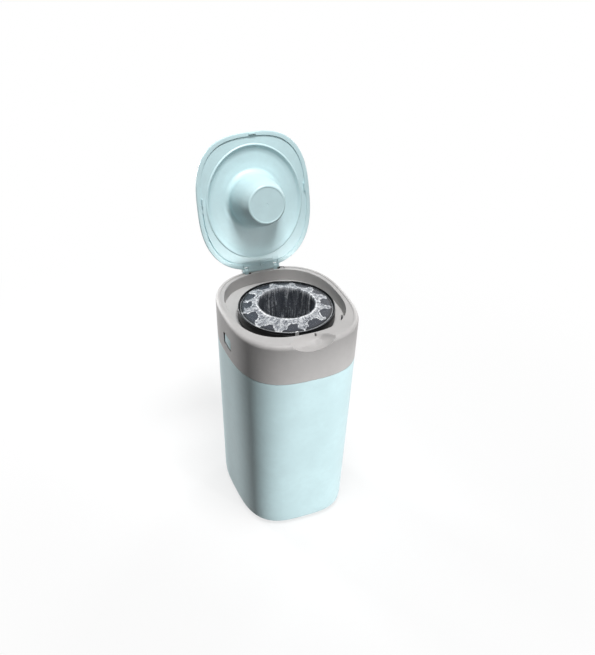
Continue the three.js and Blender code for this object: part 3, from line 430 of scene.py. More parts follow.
def linear(hex_colour, share=1.0):
    """An sRGB colour such as 0xbfdfe3, as Blender's linear colour."""
    parts = [((hex_colour >> shift) & 255) / 255 for shift in (16, 8, 0)]
    parts = [c / 12.92 if c <= 0.04045 else ((c + 0.055) / 1.055) ** 2.4 for c in parts]
    return (*[c * share for c in parts], 1.0)


def pocket_shade_share(f, x0, x1, y0, y1, top):
    """1 inside an upright pocket, below its top: where painted shade goes."""
    x, y, z = f.axes()
    inside = z.above(top * MM, (top - 0.3) * MM)
    for value, low, high in ((x, x0, x1), (y, y0, y1)):
        half = (high - low) / 2 * MM
        from_middle = (value - (low + high) / 2 * MM).size()
        inside = inside * from_middle.above(half + 0.2 * MM, half + 0.05 * MM)
    return inside


def moulded(name, tint, roughness, grain, depth, gloss=0.5, pockets=()):
    """Moulded plastic: fine spark grain, faint clouds, light rub marks, painted shade in pockets.
    """
    f = Finish(name)
    cloudy = f.cloud(14, 3, 0.6)
    fine = f.cloud(90, 2, 0.5)
    dull, light, deep, pale = [linear(tint, share) for share in (0.955, 1.03, 0.92, 1.12)]
    tone = f.blend(cloudy.above(0.3, 0.7), dull, light)
    tone = f.blend(fine.above(0.35, 0.75) * 0.35, tone, deep)
    rub = f.cloud(60, 4, 0.65, f.mapped(turn=(0.3, 0.2, 0.5), scale=(1, 1, 0.12)))
    rubbed = rub.above(0.62, 0.8)
    tone = f.blend(rubbed * 0.18, tone, pale)
    # Painted shade: the walls of the given pockets are coloured near black, as the shade deep in
    # them.
    for pocket in pockets:
        tone = f.blend(pocket_shade_share(f, *pocket) * 0.92, tone, linear(0x141415))
    spark = f.cells(grain) * 0.6 + f.cloud(grain * 1.7, 2, 0.6) * 0.6
    rough = roughness + cloudy * 0.06 - rubbed * 0.05
    return f.surface(tone, rough, f.bump(spark, depth), gloss, IOR=1.49)


def polished_black():
    """Polished black moulding with hairline swirls, painted highlight lines at its top edge and
    groove, and the white mark on the ring.
    """
    f = Finish("gloss_black_ring")
    x, y, z, radius = f.from_axis()
    swirl = f.swirls(260, 4, 0.7, 6)
    dust = f.cells(420).above(0.055, 0.03)
    worn = f.cloud(30, 2).above(0.3, 0.7)
    tone = f.blend(worn, (0.004, 0.0042, 0.0048, 1), (0.008, 0.0085, 0.01, 1))
    tone = f.blend(dust * 0.2, tone, (0.12, 0.13, 0.14, 1))
    up = (z - RING_TOP * MM) * (1 / MM)
    # Painted highlights: a light line on the rounded outer top edge, and a fainter one along the
    # groove in the outer wall.
    highlight_grey = (0.30, 0.31, 0.33, 1)
    edge = radius.above(87.7 * MM, 87.9 * MM) * up.above(-0.9, -0.6)
    tone = f.blend(edge * 0.4, tone, highlight_grey)
    groove_highlight = (up + 4.2).size().above(0.55, 0.35)
    tone = f.blend(groove_highlight * 0.12, tone, highlight_grey)
    half = 2.7 + (1.7 - up) * 0.07
    wedge = ((x * (1 / MM) + 15.7).size() - half).above(0.15, 0.0)
    marked = wedge * up.above(-7.9, -7.7) * (y + 85.8 * MM).above(0.2 * MM, -0.2 * MM)
    tone = f.blend(marked, tone, (0.72, 0.73, 0.73, 1))
    rough = 0.12 + swirl.above(0.45, 0.8) * 0.08 + marked * 0.3 + up.above(-1.5, -2.5) * 0.25
    return f.surface(tone, rough, f.bump(swirl, 0.00002, 0.3), 0.22, IOR=1.5)


def cone_slate():
    """Blue-grey satin plastic of the cassette's cone, black where it meets the ring, with a painted
    highlight line at its outer edge.
    """
    f = Finish("slate_cone")
    _, _, _, radius = f.from_axis()
    cloudy = f.cloud(26, 3, 0.6)
    tone = f.blend(cloudy.above(0.3, 0.7), linear(0x2C2E36, 0.85), linear(0x2C2E36, 1.1))
    tone = f.blend(radius.above(80.4 * MM, 80.8 * MM), tone, (0.004, 0.0045, 0.005, 1))
    # Painted highlight: a light line on the cone's outer edge, by the ring's slot.
    tone = f.blend(radius.above(83.3 * MM, 83.5 * MM) * 0.5, tone, (0.5, 0.52, 0.54, 1))
    normal = f.bump(f.swirls(200, 3, 0.6, 5), 0.00002, 0.4)
    return f.surface(tone, 0.28 + cloudy * 0.08, normal, 0.35, IOR=1.5)


def pale_film(name, clear_share, white):
    """Thin film: clear where it lies flat, milky along its creases, which run to the throat."""
    f = Finish(name)
    x, y, z, radius = f.from_axis()
    outward = f.add("ShaderNodeVectorMath", {"operation": "NORMALIZE"}, {0: f.vector(x, y)})
    a, b, _ = f.axes(outward.outputs[0])
    along = z - radius

    def streaks(turns, length, detail, seed):
        vector = f.vector(a * turns, b * turns, along * length + seed)
        return f.cloud(1.0, detail, 0.6, vector, 0.35)

    def ridges(height, sharpness):
        return 1 - ((height - 0.5).size() * sharpness).above(0.0, 1.0)

    web = f.value("ShaderNodeAttribute", {"attribute_name": "web"}, None, "Fac")
    crease = streaks(8.0, 80.0, 2, 9.0)
    ridge = ridges(crease, 14.0)
    fine = ridges(streaks(22.0, 60.0, 4, 0.0), 9.0)
    wide = streaks(7.0, 34.0, 3, 4.0)
    body = web.above(0.05, 0.95)
    milk = body * (wide * 0.8 + fine * 0.1 + ridge * 0.3 + 0.04) + (1 - body) * fine * 0.04
    milk = (milk + web.above(0.8, 1.15) * 0.5).above(-0.05, 0.95)
    tone = f.blend(milk, (0.34, 0.39, 0.46, 1), (white, white * 1.01, white * 1.03, 1))
    clear = clear_share * (1 - radius.above(78.0 * MM, 80.0 * MM) * 0.8)
    alpha = clear + milk * (0.94 - clear)
    normal = f.bump(fine * 0.35 + crease * 0.8, 0.0005, 0.8)
    return f.surface(tone, 0.24, normal, Alpha=alpha, IOR=1.45)


def steel():
    """Bright steel with fine drawing lines."""
    f = Finish("bright_steel")
    lines = f.cloud(900, 3, 0.6, f.mapped(scale=(1, 1, 0.05)))
    stain = f.cloud(120, 3, 0.6).above(0.4, 0.8)
    tone = f.blend(stain * 0.5, (0.60, 0.60, 0.61, 1), (0.42, 0.42, 0.43, 1))
    return f.surface(tone, 0.24 + lines * 0.16, f.bump(lines, 0.00003), Metallic=1.0)


AQUA = moulded("aqua_shell", 0xC4DEE2, 0.36, 900, 0.00005)
GREY = moulded("warm_grey_shell", 0xB4B2B1, 0.46, 1100, 0.00009, 0.42)
# The collar's copy of the grey paints shade into its hook pockets.
COLLAR_GREY = moulded("warm_grey_collar", 0xB4B2B1, 0.46, 1100, 0.00009, 0.42, HOOK_POCKETS)
DECK_GREY = moulded("warm_grey_deck", 0xB9B8B7, 0.48, 1100, 0.00009, 0.4)
DARK = moulded("dark_grey_moulding", 0x55585C, 0.5, 1100, 0.00007, 0.4)
SLATE = moulded("slate_grey", 0x39424E, 0.3, 800, 0.00003)
CONE = cone_slate()
BLACK = polished_black()
FILM = pale_film("clear_film", 0.06, 0.9)
PACKED_FILM = pale_film("folded_film", 0.55, 0.84)
STEEL = steel()

# Repeated pieces


class Recipe(Tree):
    """A geometry node tree that puts copies of a shape on points."""

    def __init__(self, name, sizes):
        super().__init__(bpy.data.node_groups.new(name, "GeometryNodeTree"))
        face = self.tree.interface
        face.new_socket("Geometry", in_out="INPUT", socket_type="NodeSocketGeometry")
        for label, (kind, value) in sizes.items():
            face.new_socket(label, in_out="INPUT", socket_type=kind).default_value = value
        face.new_socket("Material", in_out="INPUT", socket_type="NodeSocketMaterial")
        face.new_socket("Geometry", in_out="OUTPUT", socket_type="NodeSocketGeometry")
        self.given = self.add("NodeGroupInput").outputs

    def solid(self, kind, z, **inputs):
        """A solid of revolution with fan ends, moved up by z."""
        named = {key.replace("_", " "): value for key, value in inputs.items()}
        shape = self.add(kind, {"fill_type": "TRIANGLE_FAN"}, named)
        return self.raised(shape, z)

    def raised(self, shape, z):
        inputs = {"Geometry": shape.outputs[0], "Translation": self.vector(z=z)}
        return self.add("GeometryNodeTransform", None, inputs).outputs[0]

    def end(self, **inputs):
        """Puts the copies on their points, makes them real and gives them their material."""
        copies = self.add("GeometryNodeInstanceOnPoints", None, inputs)
        real = self.add("GeometryNodeRealizeInstances", None, {0: copies.outputs[0]})
        inputs = {0: real.outputs[0], "Material": self.given["Material"]}
        dressed = self.add("GeometryNodeSetMaterial", None, inputs)
        self.add("NodeGroupOutput", None, {0: dressed.outputs[0]})
        return self.tree


def screw_recipe():
    """A screw, head down, at each point: a head with a cross recess, a shank and a tip."""
    lengths = {"Head Radius": 3.2, "Head Thickness": 2, "Shank Radius": 1.4, "Length": 13}
    sizes = {label: ("NodeSocketFloat", size * MM) for label, size in lengths.items()}
    r = Recipe("screws_at_points", sizes)
    head, thick, shank, length = [Value(r, r.given[label]) for label in lengths]
    straight = length - shank * 2.0
    cylinder = "GeometryNodeMeshCylinder"
    cut = r.add("GeometryNodeMeshBoolean", {"operation": "DIFFERENCE"})
    disc = r.solid(cylinder, thick * -0.5, Vertices=32, Radius=head, Depth=thick)
    r.tree.links.new(disc, cut.inputs[0])
    long, thin = head * 1.25, head * 0.25
    for across in ((long, thin), (thin, long)):
        bar = r.add("GeometryNodeMeshCube", None, {"Size": r.vector(*across, thick)})
        r.tree.links.new(r.raised(bar, thick * -1.0), cut.inputs[1])
    rod = r.solid(cylinder, straight * 0.5, Vertices=20, Radius=shank, Depth=straight)
    ends = {"Radius_Top": shank * 0.3, "Radius_Bottom": shank}
    tip = r.solid("GeometryNodeMeshCone", straight, Vertices=20, Depth=shank * 2.0, **ends)
    whole = r.add("GeometryNodeJoinGeometry")
    for part in (cut.outputs[0], rod, tip):
        r.tree.links.new(part, whole.inputs[0])
    return r.end(Points=r.given["Geometry"], Instance=whole.outputs[0])


def ring_recipe():
    """Copies of one mesh round an upright axis."""
    sizes = {
        "Count": ("NodeSocketInt", 9),
        "First Angle": ("NodeSocketFloat", 0.0),
        "Centre": ("NodeSocketVector", (0, 0, 0)),
    }
    r = Recipe("copies_in_a_ring", sizes)
    g = r.given
    seats = r.add("GeometryNodePoints", None, {"Count": g["Count"], "Position": g["Centre"]})
    turn = r.value("GeometryNodeInputIndex") * r.maths("DIVIDE", math.tau, g["Count"])
    turn = r.vector(z=turn + g["First Angle"])
    return r.end(Points=seats.outputs[0], Instance=g["Geometry"], Rotation=turn)


SCREWS, COPIES = screw_recipe(), ring_recipe()


def grown(made, recipe, **values):
    """Runs a recipe on an object and keeps the result as its mesh."""
    modifier = made.modifiers.new("recipe", "NODES")
    modifier.node_group = recipe
    for item in recipe.interface.items_tree:
        label = item.name.replace(" ", "_")
        if item.in_out == "INPUT" and label in values:
            modifier[item.identifier] = values[label]
    made.update_tag()
    plain(made)


# Tub and catches
TUB_SIDE = [(PLINTH_STEP, PLINTH_TOP, 0.6), (0, PLINTH_TOP + PLINTH_STEP, 0.5), (0, SHOULDER, 0.9)]
CATCH_SIDES, CATCH_IN, CATCH_FOOT, CATCH_GAP = (-34, 10), 20, 362.5, 0.5
PAD_SIDES, PAD_HEIGHTS, PAD_ROUND = (-27.6, 3.6), (377.4, 396.6), 3


def foot_curve(radius, inset, z, count):
    """The quarter round between floor and side, from the floor out, with its corner at inset, z."""
    return [
        (inset + radius * (1 - math.sin(a)), z + radius * (1 - math.cos(a)))
        for a in np.linspace(0, math.pi / 2, count)
    ]


def tub_rings():
    """Rings from the foot, up the side, over the neck and down inside, by inset and height."""
    foot = foot_curve(BASE_ROUND, PLINTH_STEP, 0, 12)
    outer = filleted([(*foot[-1], 0), *TUB_SIDE, (NECK_INSET, SHOULDER, 0)], 5)
    rings = [body_ring(z, inset) for inset, z in foot + stepped(outer, 12)[1:]]
    neck = [(0.4, NECK_TOP, 0.9), (0.4 + TUB_WALL, NECK_TOP, 0.9), (TUB_WALL, SHOULDER, 0)]
    neck = filleted([(0, SHOULDER, 0), *neck], 4)
    rings += [neck_ring(z, inset) for inset, z in stepped(neck, 12)]
    low = TUB_WALL + PLINTH_STEP
    down = [(TUB_WALL, SHOULDER - 7), (TUB_WALL, 190), (TUB_WALL, 60), (low, 23.6)]
    down += foot_curve(BASE_ROUND - TUB_WALL, low, TUB_FLOOR, 8)[::-1]
    return rings + [body_ring(z, inset) for inset, z in down]


def catch_box(side, margin):
    low, high = (-RIM_WIDTH, -CATCH_IN) if side < 0 else (CATCH_IN, RIM_WIDTH)
    front, back = CATCH_SIDES
    return block((low, front + margin, CATCH_FOOT + margin), (high, back - margin, RIM_TOP))


def catch_pad(side):
    """The pad of a release tongue, which stands in the collar's window."""
    face = -float(neck_ring(0, 0, np.array([math.pi]))[0, 0])
    rings = []
    for out, inset in ((-1.6, 0), (2.6, 0), (3.2, 0.35), (3.5, 1.0)):
        spans = [(low + inset, high - inset) for low, high in (PAD_SIDES, PAD_HEIGHTS)]
        rings.append([((face + out) * side, y, z) for y, z in rounded_box(*spans, PAD_ROUND)])
    return loft("tool", rings if side > 0 else rings[::-1])


def make_tub():
    whole = loft("tub_shell", tub_rings())
    for side, label in ((-1, "left"), (1, "right")):
        tongue = linked(f"catch_tongue_{label}", whole.data.copy())
        combine(tongue, [catch_box(side, CATCH_GAP)], "INTERSECT")
        combine(tongue, [catch_pad(side)], "UNION")
        place(tongue, f"{label}_catch", AQUA, [f"catch_{label}"])
    combine(whole, [catch_box(-1, 0), catch_box(1, 0)], "DIFFERENCE")
    place(whole, "tub", AQUA, ["tub"])


# Collar
RECESS_CENTRE, RECESS_HALVES = (0, -128, 444), (44, 24, 27)
RECESS_WALL, RECESS_SOFT = 2.6, 0.45
FINE_FROM = 412
WINDOW_SIDES, WINDOW_HEIGHTS, WINDOW_ROUND = (-30, 6), (375, 399), 3.2
BOSSES = [(x, y) for x, y, _ in body_ring(DECK_TOP, 9, np.radians([50, 130, 230, 310]))]
BOSS_RADIUS, BOSS_TOP = 4, 432.9
NOTCH_HALF, NOTCH_FRONT, NOTCH_FLOOR = 37.6, 121.5, 434
SMALL_HOLE_AT, SMALL_HOLE_RADIUS, SMALL_HOLE_FLOOR = (13, -107.2), 1.8, 425
LUG_SPANS = ((-33, -26), (26, 33))
PIN_FROM, PIN_HEAD_SEAT = 17.4, 35.3


def scooped(ring, grow=0.0):
    """Lowers points of a ring into the finger recess, with a soft edge."""
    half_x, half_y, deep = [half + grow for half in RECESS_HALVES]
    out = ring.copy()
    x, y, z = out.T
    inside = np.clip(1 - (x / half_x) ** 2 - ((y - RECESS_CENTRE[1]) / half_y) ** 2, 0, None)
    floor = RECESS_CENTRE[2] - deep * np.sqrt(inside)
    near = ramp(z - floor, -RECESS_SOFT, RECESS_SOFT)
    lowered = z * (1 - near) + floor * near - RECESS_SOFT * near * (1 - near)
    out[:, 2] = np.where(floor < z + RECESS_SOFT, lowered, z)
    return out


def collar_rings():
    """Rings up the outside, over the rim and ledge, down the well and back under the rim."""
    outside = [
        (COLLAR_WALL, HEAD_BOTTOM, 0), (0, HEAD_BOTTOM, 0.7), (0, RIM_TOP, RIM_ROUND),
        (8.7, RIM_TOP, 0.45), (8.7, LEDGE_Z, 0.35), (9.6, LEDGE_Z, 0),
    ]
    outside = filleted(outside, 9)
    line = stepped([p for p in outside if p[1] <= FINE_FROM], 9)
    line += stepped([(0, FINE_FROM), (0, RIM_TOP - RIM_ROUND)], 1.3)[:-1]
    line += stepped([p for p in outside if p[1] > FINE_FROM], 1.3)
    rings = [scooped(body_ring(z, inset)) for inset, z in line]
    foot = DECK_TOP + GAP
    edge = filleted([(1.6, LEDGE_Z, 0), (0, LEDGE_Z, 1.1), (-0.8, foot, 0)], 6)
    first, last = body_ring(LEDGE_Z, 9.6), opening_ring(LEDGE_Z, 1.6)
    rings += [scooped(first + (last - first) * k / 14) for k in range(1, 14)]
    rings += [scooped(opening_ring(z, grow)) for grow, z in stepped(edge, 3)]
    hidden = [opening_ring(z, grow) for z, grow in ((foot, 1.6), (425, 2.2), (431.4, 2.4))]
    under = [(431.4, 9.5), (431.4, 8), (429.8, 4.4), (426.2, COLLAR_WALL), (412, COLLAR_WALL)]
    hidden += [body_ring(z, inset) for z, inset in under]
    return rings + [scooped(r, RECESS_WALL) for r in hidden] + [body_ring(HEAD_BOTTOM, COLLAR_WALL)]


def window_tool(side):
    near, far = OPENING_HALF_WIDTH + 2.4, RIM_WIDTH / 2 + 6
    x0, x1 = (-far, -near) if side < 0 else (near, far)
    return bar_along_x(x0, x1, rounded_box(WINDOW_SIDES, WINDOW_HEIGHTS, WINDOW_ROUND))


def make_collar():
    shell = loft("collar_shell", collar_rings(), loop=True)
    bosses = [peg(x, y, BOSS_RADIUS, DECK_TOP + GAP, BOSS_TOP) for x, y in BOSSES]
    combine(shell, bosses, "UNION")
    low, high = (-NOTCH_HALF, NOTCH_FRONT, NOTCH_FLOOR), (NOTCH_HALF, RIM_DEPTH, HINGE_Z + 8)
    notch = block(low, high)
    combine(shell, [notch], "DIFFERENCE")
    cuts = []
    for x0, x1, y0, y1, _ in HOOK_POCKETS:
        cuts.append(block((x0, y0, POCKET_FLOOR), (x1, y1, ABOVE_RIM)))
    small_hole = peg(*SMALL_HOLE_AT, SMALL_HOLE_RADIUS, SMALL_HOLE_FLOOR, ABOVE_RIM)
    cuts += [window_tool(-1), window_tool(1), small_hole]
    cuts += [peg(x, y, SCREW_HOLE, DECK_TOP, DECK_TOP + 13, 20) for x, y in BOSSES]
    combine(shell, cuts, "DIFFERENCE")
    place(shell, "head", COLLAR_GREY, ["collar"])
    upper = [p for p in hinge_outline(LUG_RADIUS) if p[1] >= HINGE_Z - 0.01]
    upper += [(HINGE_Y - LUG_RADIUS, 432), (HINGE_Y + LUG_RADIUS, 432)]
    for (x0, x1), side in zip(LUG_SPANS, ("left", "right")):
        knuckle = bar_along_x(x0, x1, upper)
        knuckle.name = f"hinge_knuckle_{side}"
        bore = bar_along_x(x0 - 5, x1 + 5, hinge_outline(PIN_HOLE, 24))
        combine(knuckle, [bore], "DIFFERENCE")
        place(knuckle, "head", AQUA, ["collar"])


# Turning parts and cassette


def cap_top(r):
    share = (r - THROAT_RADIUS) / (CAP_RADIUS - THROAT_RADIUS)
    return THROAT_TOP + (CAP_EDGE_Z - THROAT_TOP) * share


def make_cassette():
    r, top, foot, low = RING_RADIUS, RING_TOP, RING_FOOT, CASE_BOTTOM
    wall = CASE_RADIUS - CASE_WALL
    tube = THROAT_RADIUS + CASE_WALL
    case = [
        (CASE_RADIUS, low, 1.2), (CASE_RADIUS, foot, 0.5), (r - 1.4, foot, 0.5),
        (r - 1.0, foot + 3.2, 0.3), (r, foot + 3.6, 0.35), (r, top - 5.2, 0.3),
        (r - 0.8, top - 4.7, 0.2), (r - 0.8, top - 4.1, 0.2), (r - 0.1, top - 3.6, 0.3),
        (r - 0.4, top, 0.9), (r - 1.6, top, 0.5), (r - 2.5, top - 0.7, 0.3),
        (r - 2.5, foot + 2.3, 0.2), (wall, foot + 2.3, 0.3), (wall, low + CASE_WALL, 1.0),
        (tube + 0.8, low + CASE_WALL, 0.2), (tube + 0.8, low, 0.2),
    ]
    ring = turned("cassette_ring_and_trough", closed_fillets(case, 4))
    top = RING_TOP + 1.7
    tab = [(-18.9, 425.6, 0.6), (-12.5, 425.6, 0.6), (-13.1, top, 2), (-18.3, top, 2)]
    tab = loft("tool", [[(x, y, z) for x, z in closed_fillets(tab)] for y in (-91.0, -93.8)])
    combine(ring, [tab], "UNION")
    place(ring, "cassette", BLACK, ["cassette_case"])
    r = CAP_RADIUS
    cap = [
        (tube, THROAT_BOTTOM, 0.5), (tube, low - 4.5, 0), (tube + 2.6, low - 2.2, 0.4),
        (tube + 2.6, low - GAP, 0.2), (tube, low - GAP, 0), (tube, THROAT_TOP - 3.6, 1.5),
        (r - 0.9, cap_top(r - 0.9) - 1.8, 0.5), (r, CAP_EDGE_Z + 0.1, 0.6),
        (r - 1.4, CAP_EDGE_Z + 0.75, 0.5), (r - 2.6, cap_top(r - 2.6), 0.4),
        (THROAT_RADIUS, THROAT_TOP - 0.2, 2.2), (THROAT_RADIUS, THROAT_BOTTOM, 0.5),
    ]
    cone = turned("cassette_cap_cone", closed_fillets(cap, 5))
    place(cone, "cassette", CONE, ["cassette_cap"])


def make_turntable():
    r, top, low, floor = DRUM_RADIUS, DRUM_TOP, DRUM_BOTTOM, DRUM_BOTTOM + 3
    drum = [
        (r, low, 0.6), (r, top - 1.8, 0.5), (r + 3.5, top - 1.8, 0.4), (r + 3.5, top, 0.6),
        (r - 2.3, top, 0.5), (r - 2.3, floor, 0.8), (r - 12.9, floor, 0.4), (r - 12.9, low, 0.4),
    ]
    made = turned("turntable_drum", closed_fillets(drum, 4))
    place(made, "turntable", DARK, ["turntable"])


# Film
FILM_ANGLES = even_angles(600)
LIP_REACH = 36.0
FOLDS = 24
# Bays of flat film on the cone: direction in degrees, half-width, inner and outer radius
BAYS = [
    (17, 14, 64, 89), (45, 14, 63, 89), (74, 13, 65, 88), (104, 14, 63, 88), (137, 12, 63, 88),
    (160, 12, 62, 87), (191, 14, 63, 88), (224, 8, 71, 88), (256, 12, 66, 88), (289, 16, 66, 89),
    (320, 14, 64, 88), (348, 13, 62, 88),
]
# The film from the ring's slot to its loose end: radius, height and depth of its pleats
FILM_STATIONS = [
    (85.2, 427.9, 0), (85.15, 430.2, 0), (84.6, 431.4, 0), (83, 431.5, 0), (80, 432.2, 0),
    (70, 434.6, 0), (60, 437.1, 0), (56, 438.6, 0), (54.4, 440, 0.05), (53, 440.5, 0.1),
    (51.9, 439.8, 0.15), (51.4, 437, 0.2), (51.2, 431, 0.5), (51.1, 420, 1.2), (51, 405, 2.2),
    (50.8, 390, 3), (50.4, 374, 3.8), (47, 366.5, 5), (34, 354, 5.6), (16.5, 335, 6.8),
    (9.5, 321, 6), (14.6, 313, 8), (14.6, 304.5, 8), (9.6, 297.5, 6), (15, 289, 6.5),
    (21, 279.5, 6), (20, 276.4, 5.5),
]


def lumps(t, reach, z, octaves=2):
    """Smooth noise from -1 to 1, read round a circle of this reach at height z."""
    x, y, z = np.broadcast_arrays(reach * np.cos(t), reach * np.sin(t), z)
    total = np.zeros(len(t))
    for k in 2.0 ** np.arange(octaves):
        total += np.array([noise.noise(p) for p in zip(x * k, y * k, z * k)]) / k
    return total


def set_web(made, web):
    attribute = made.data.attributes.new("web", "FLOAT", "POINT")
    attribute.data.foreach_set("value", np.asarray(web, np.float32))


def film_line():
    """Radius, height, pleat depth and how far along the film, from the slot to the loose end."""
    line = np.array(FILM_STATIONS, float)
    reach = np.concatenate([[0], np.cumsum(np.hypot(*np.diff(line[:, :2], axis=0).T))])
    spans = ((0, LIP_REACH + 6, 0.85), (LIP_REACH + 6, 86, 1.6), (86, reach[-1], 2.2))
    along = np.concatenate([np.arange(*span) for span in spans])
    return [np.interp(along, reach, line[:, k]) for k in range(3)] + [along]


def bay_share(t, r):
    """How far outside the nearest bay each point lies, in shares of the bay: below 1 is inside."""
    nearest = np.full(len(t), 9.0)
    for direction, half, inner, outer in BAYS:
        turn = (t - math.radians(direction) + math.pi) % (2 * math.pi) - math.pi
        taper = np.clip(0.8 + 0.2 * (r - inner) / (outer - inner), 0.6, 1.1)
        across = np.abs(turn * r) / (half * taper)
        up = np.abs(r - (inner + outer) / 2) / ((outer - inner) / 2)
        nearest = np.minimum(nearest, (across**2.3 + up**2.3) ** (1 / 2.3))
    return nearest


def web_share(t, r):
    """1 where the film on the cone is crumpled, 0 where it lies flat; and the hem between."""
    bend = 0.06 * lumps(t, 5, r * 0.09)
    ragged = 0.2 * lumps(t, r * 0.13, 9.1, 3) + 0.1 * lumps(t, r * 0.4, 2.4)
    past = (bay_share(t + bend, r) + ragged - 1) * 10 - max(r - 76.5, 0) * 1.1
    return 1 / (1 + np.exp(-past * 1.7)), bell(past, 0.7, math.sqrt(0.5))


def make_film():
    t = FILM_ANGLES
    gather = np.clip(0.55 + 0.6 * lumps(t, 3.6, 1.3), 0, 1)
    sway = lumps(t, 4.4, 7.7)
    rings, webs = [], []
    for r, z, depth, s in zip(*film_line()):
        over = ramp(s, LIP_REACH + 0.5, LIP_REACH - 4.5)
        inside = 1 - over
        near_lip = bell(s, LIP_REACH, 4)
        web, hem = web_share(t, r)
        crumple, ribs = lumps(t, r * 0.13, s * 0.05), lumps(t, 13, s * 0.035)
        rise = 0.25 + web * (0.9 + crumple + 0.7 * ribs) + hem * 0.5
        rise = np.clip(over * ramp(r, 84.2, 81.2) * rise, 0.1 * over, 2.6)
        rise = rise * ramp(s, LIP_REACH + 3, LIP_REACH - 3)
        # Loose pleats in the throat, which turn into tight twisted ones below it
        swirl = max(s - 100, 0) * 0.02
        pleat = np.clip(0.5 + 0.75 * lumps(t + swirl, 7, s * 0.012), 0, 1)
        tight = 0.5 - 0.5 * np.cos(t * 17 + 3 * ribs + swirl * 17)
        below = ramp(s, 96, 116)
        fold = pleat * (1 - below) + tight * below
        radius = r - inside * (depth * fold + 0.12 * crumple * min(1, depth))
        radius = np.clip(radius + near_lip * np.clip(sway, 0, 1) * 0.9, 1.5, None)
        rings.append(points(t, radius, z + rise + near_lip * 0.6 * sway, TURN_Y))
        lines = np.clip(1 - 5 * np.abs(lumps(t, 9, s * 0.008) + 0.1), 0, 1)
        deep = 0.34 + 0.6 * lines * gather + 0.25 * np.clip(pleat - 0.6, 0, 1)
        lip = bell(s, LIP_REACH - 1.2 - 1.2 * sway, 1.2) * (0.08 + 0.7 * gather)
        lip = lip + bell(s, LIP_REACH + 4, 6) * 0.3
        flat = web * 0.66 + hem * 0.5 + bell(s, 3.7, 0.55) * 1.1
        webs.append(np.clip(over * flat + inside * deep + lip, 0, 1.3))
    film = loft("film_tube", rings, close=False)
    set_web(film, np.concatenate(webs))
    place(film, "cassette", FILM, ["film_sleeve", "film_tail"], 70)


def make_film_pack():
    t = even_angles(360)
    rings, webs = [], []
    for k in range(FOLDS + 1):
        wave = 0.5 * lumps(t, 5, k * 0.7)
        base, inward, web = (78.6, -1, 0.9) if k % 2 else (58.4, 1, 0.4)
        z = 385.9 + k * 1.32 + 0.3 * wave
        rings.append(points(t, base + inward * np.abs(wave), z, TURN_Y))
        webs.append(np.full(len(t), web))
    pack = loft("folded_film_pack", rings, close=False)
    set_web(pack, np.concatenate(webs))
    place(pack, "cassette", PACKED_FILM, ["film_pack"], 20)


# Lid
CROWN_SHARES = [0.95, 0.93, 0.9, 0.85, 0.78, 0.7, 0.6, 0.5, 0.4, 0.3, 0.2, 0.1]
# Lines moulded into the lid's inner face at the hinge, uprights and a crease: two corners of each
HINGE_LINES = [
    ((-36.4, 111.5), (-35.2, 121)), ((-1.8, 107.6), (-0.6, 122.6)), ((-35.2, 112), (25, 112.9)),
    ((24.2, 108.4), (25.4, 122)), ((33.6, 107.4), (34.8, 121)),
]
BEAD_WIDTH, BEAD_LENGTH = 92.5, 104
TIP = 36.42
# The flare's foot and the plunger's side, seen from below: half-width, half-length, middle, depth
FLARE_FOOT = [(61, 62.6, -4.4, -5.5), (53.6, 53.8, -5, -4.6)]
PLUNGER_SIDE = [(r, r, TURN_Y, depth) for r, depth in ((48.5, 15), (46, 29), (41.6, 51))]


def opened(made):
    """Turns a closed lid piece open about the hinge."""
    hinge = Vector((0, HINGE_Y * MM, HINGE_Z * MM))
    open_up = Matrix.Rotation(LID_OPEN, 4, "X")
    made.data.transform(Matrix.Translation(hinge) @ open_up @ Matrix.Translation(-hinge))
    return made


def cover_rings():
    """Rings from the middle out under the crown, round the edge and back over the crown."""
    base = LID_EDGE + 4

    def dome(s, down):
        z = base + (LID_CROWN - base) * (1 - s * s) - down
        return lid_ring(z, RIM_WIDTH / 2 * (1 - s))

    side = [
        (LID_WALL, LID_EDGE, 0), (LID_WALL, LID_BOTTOM + 1.6, 0.2), (7.6, LID_BOTTOM + 1.6, 0.4),
        (7.6, LID_BOTTOM, 0.5), (0, LID_BOTTOM, 1.2), (0, LID_EDGE, 0),
    ]
    turns = np.linspace(0, math.pi / 2, 10)[1:]
    shoulder = [(3.6 * (1 - math.cos(a)) ** 0.9, LID_EDGE + 4 * math.sin(a)) for a in turns]
    under = [dome(s, LID_WALL) for s in reversed(CROWN_SHARES)]
    edge = [lid_ring(z, inset) for inset, z in filleted(side, 5) + shoulder]
    return under + edge + [dome(s, 0) for s in CROWN_SHARES]


def hinge_tools():
    """Tools for the gaps round the collar's knuckles and for the lines at the hinge."""
    tools, front = [], HINGE_Y - 7.3
    for x0, x1 in LUG_SPANS:
        tools.append(block((x0 - 0.6, front, HEAD_BOTTOM), (x1 + 0.6, RIM_DEPTH, LID_CROWN + 5)))
    low, high = LID_BOTTOM - 1, LINER_FACE + 1.1
    return tools + [block((*start, low), (*end, high)) for start, end in HINGE_LINES]


def make_cover():
    shell = loft("lid_outer_shell", cover_rings())
    barrel = bar_along_x(-BARREL_HALF, BARREL_HALF, hinge_outline(BARREL_RADIUS))
    tab = block((0, -124.4, LID_BOTTOM - 2.5), (14, -122.4, LID_BOTTOM + 0.8))
    combine(shell, [barrel, tab], "UNION")
    holes = []
    for start, radius in ((PIN_FROM, PIN_HOLE), (PIN_HEAD_SEAT, PIN_HEAD_HOLE)):
        for x0, x1 in ((-RIM_WIDTH / 2, -start), (start, RIM_WIDTH / 2)):
            holes.append(bar_along_x(x0, x1, hinge_outline(radius, 24)))
    combine(shell, hinge_tools() + holes, "DIFFERENCE")
    place(opened(shell), "lid", AQUA, ["lid_cover"])


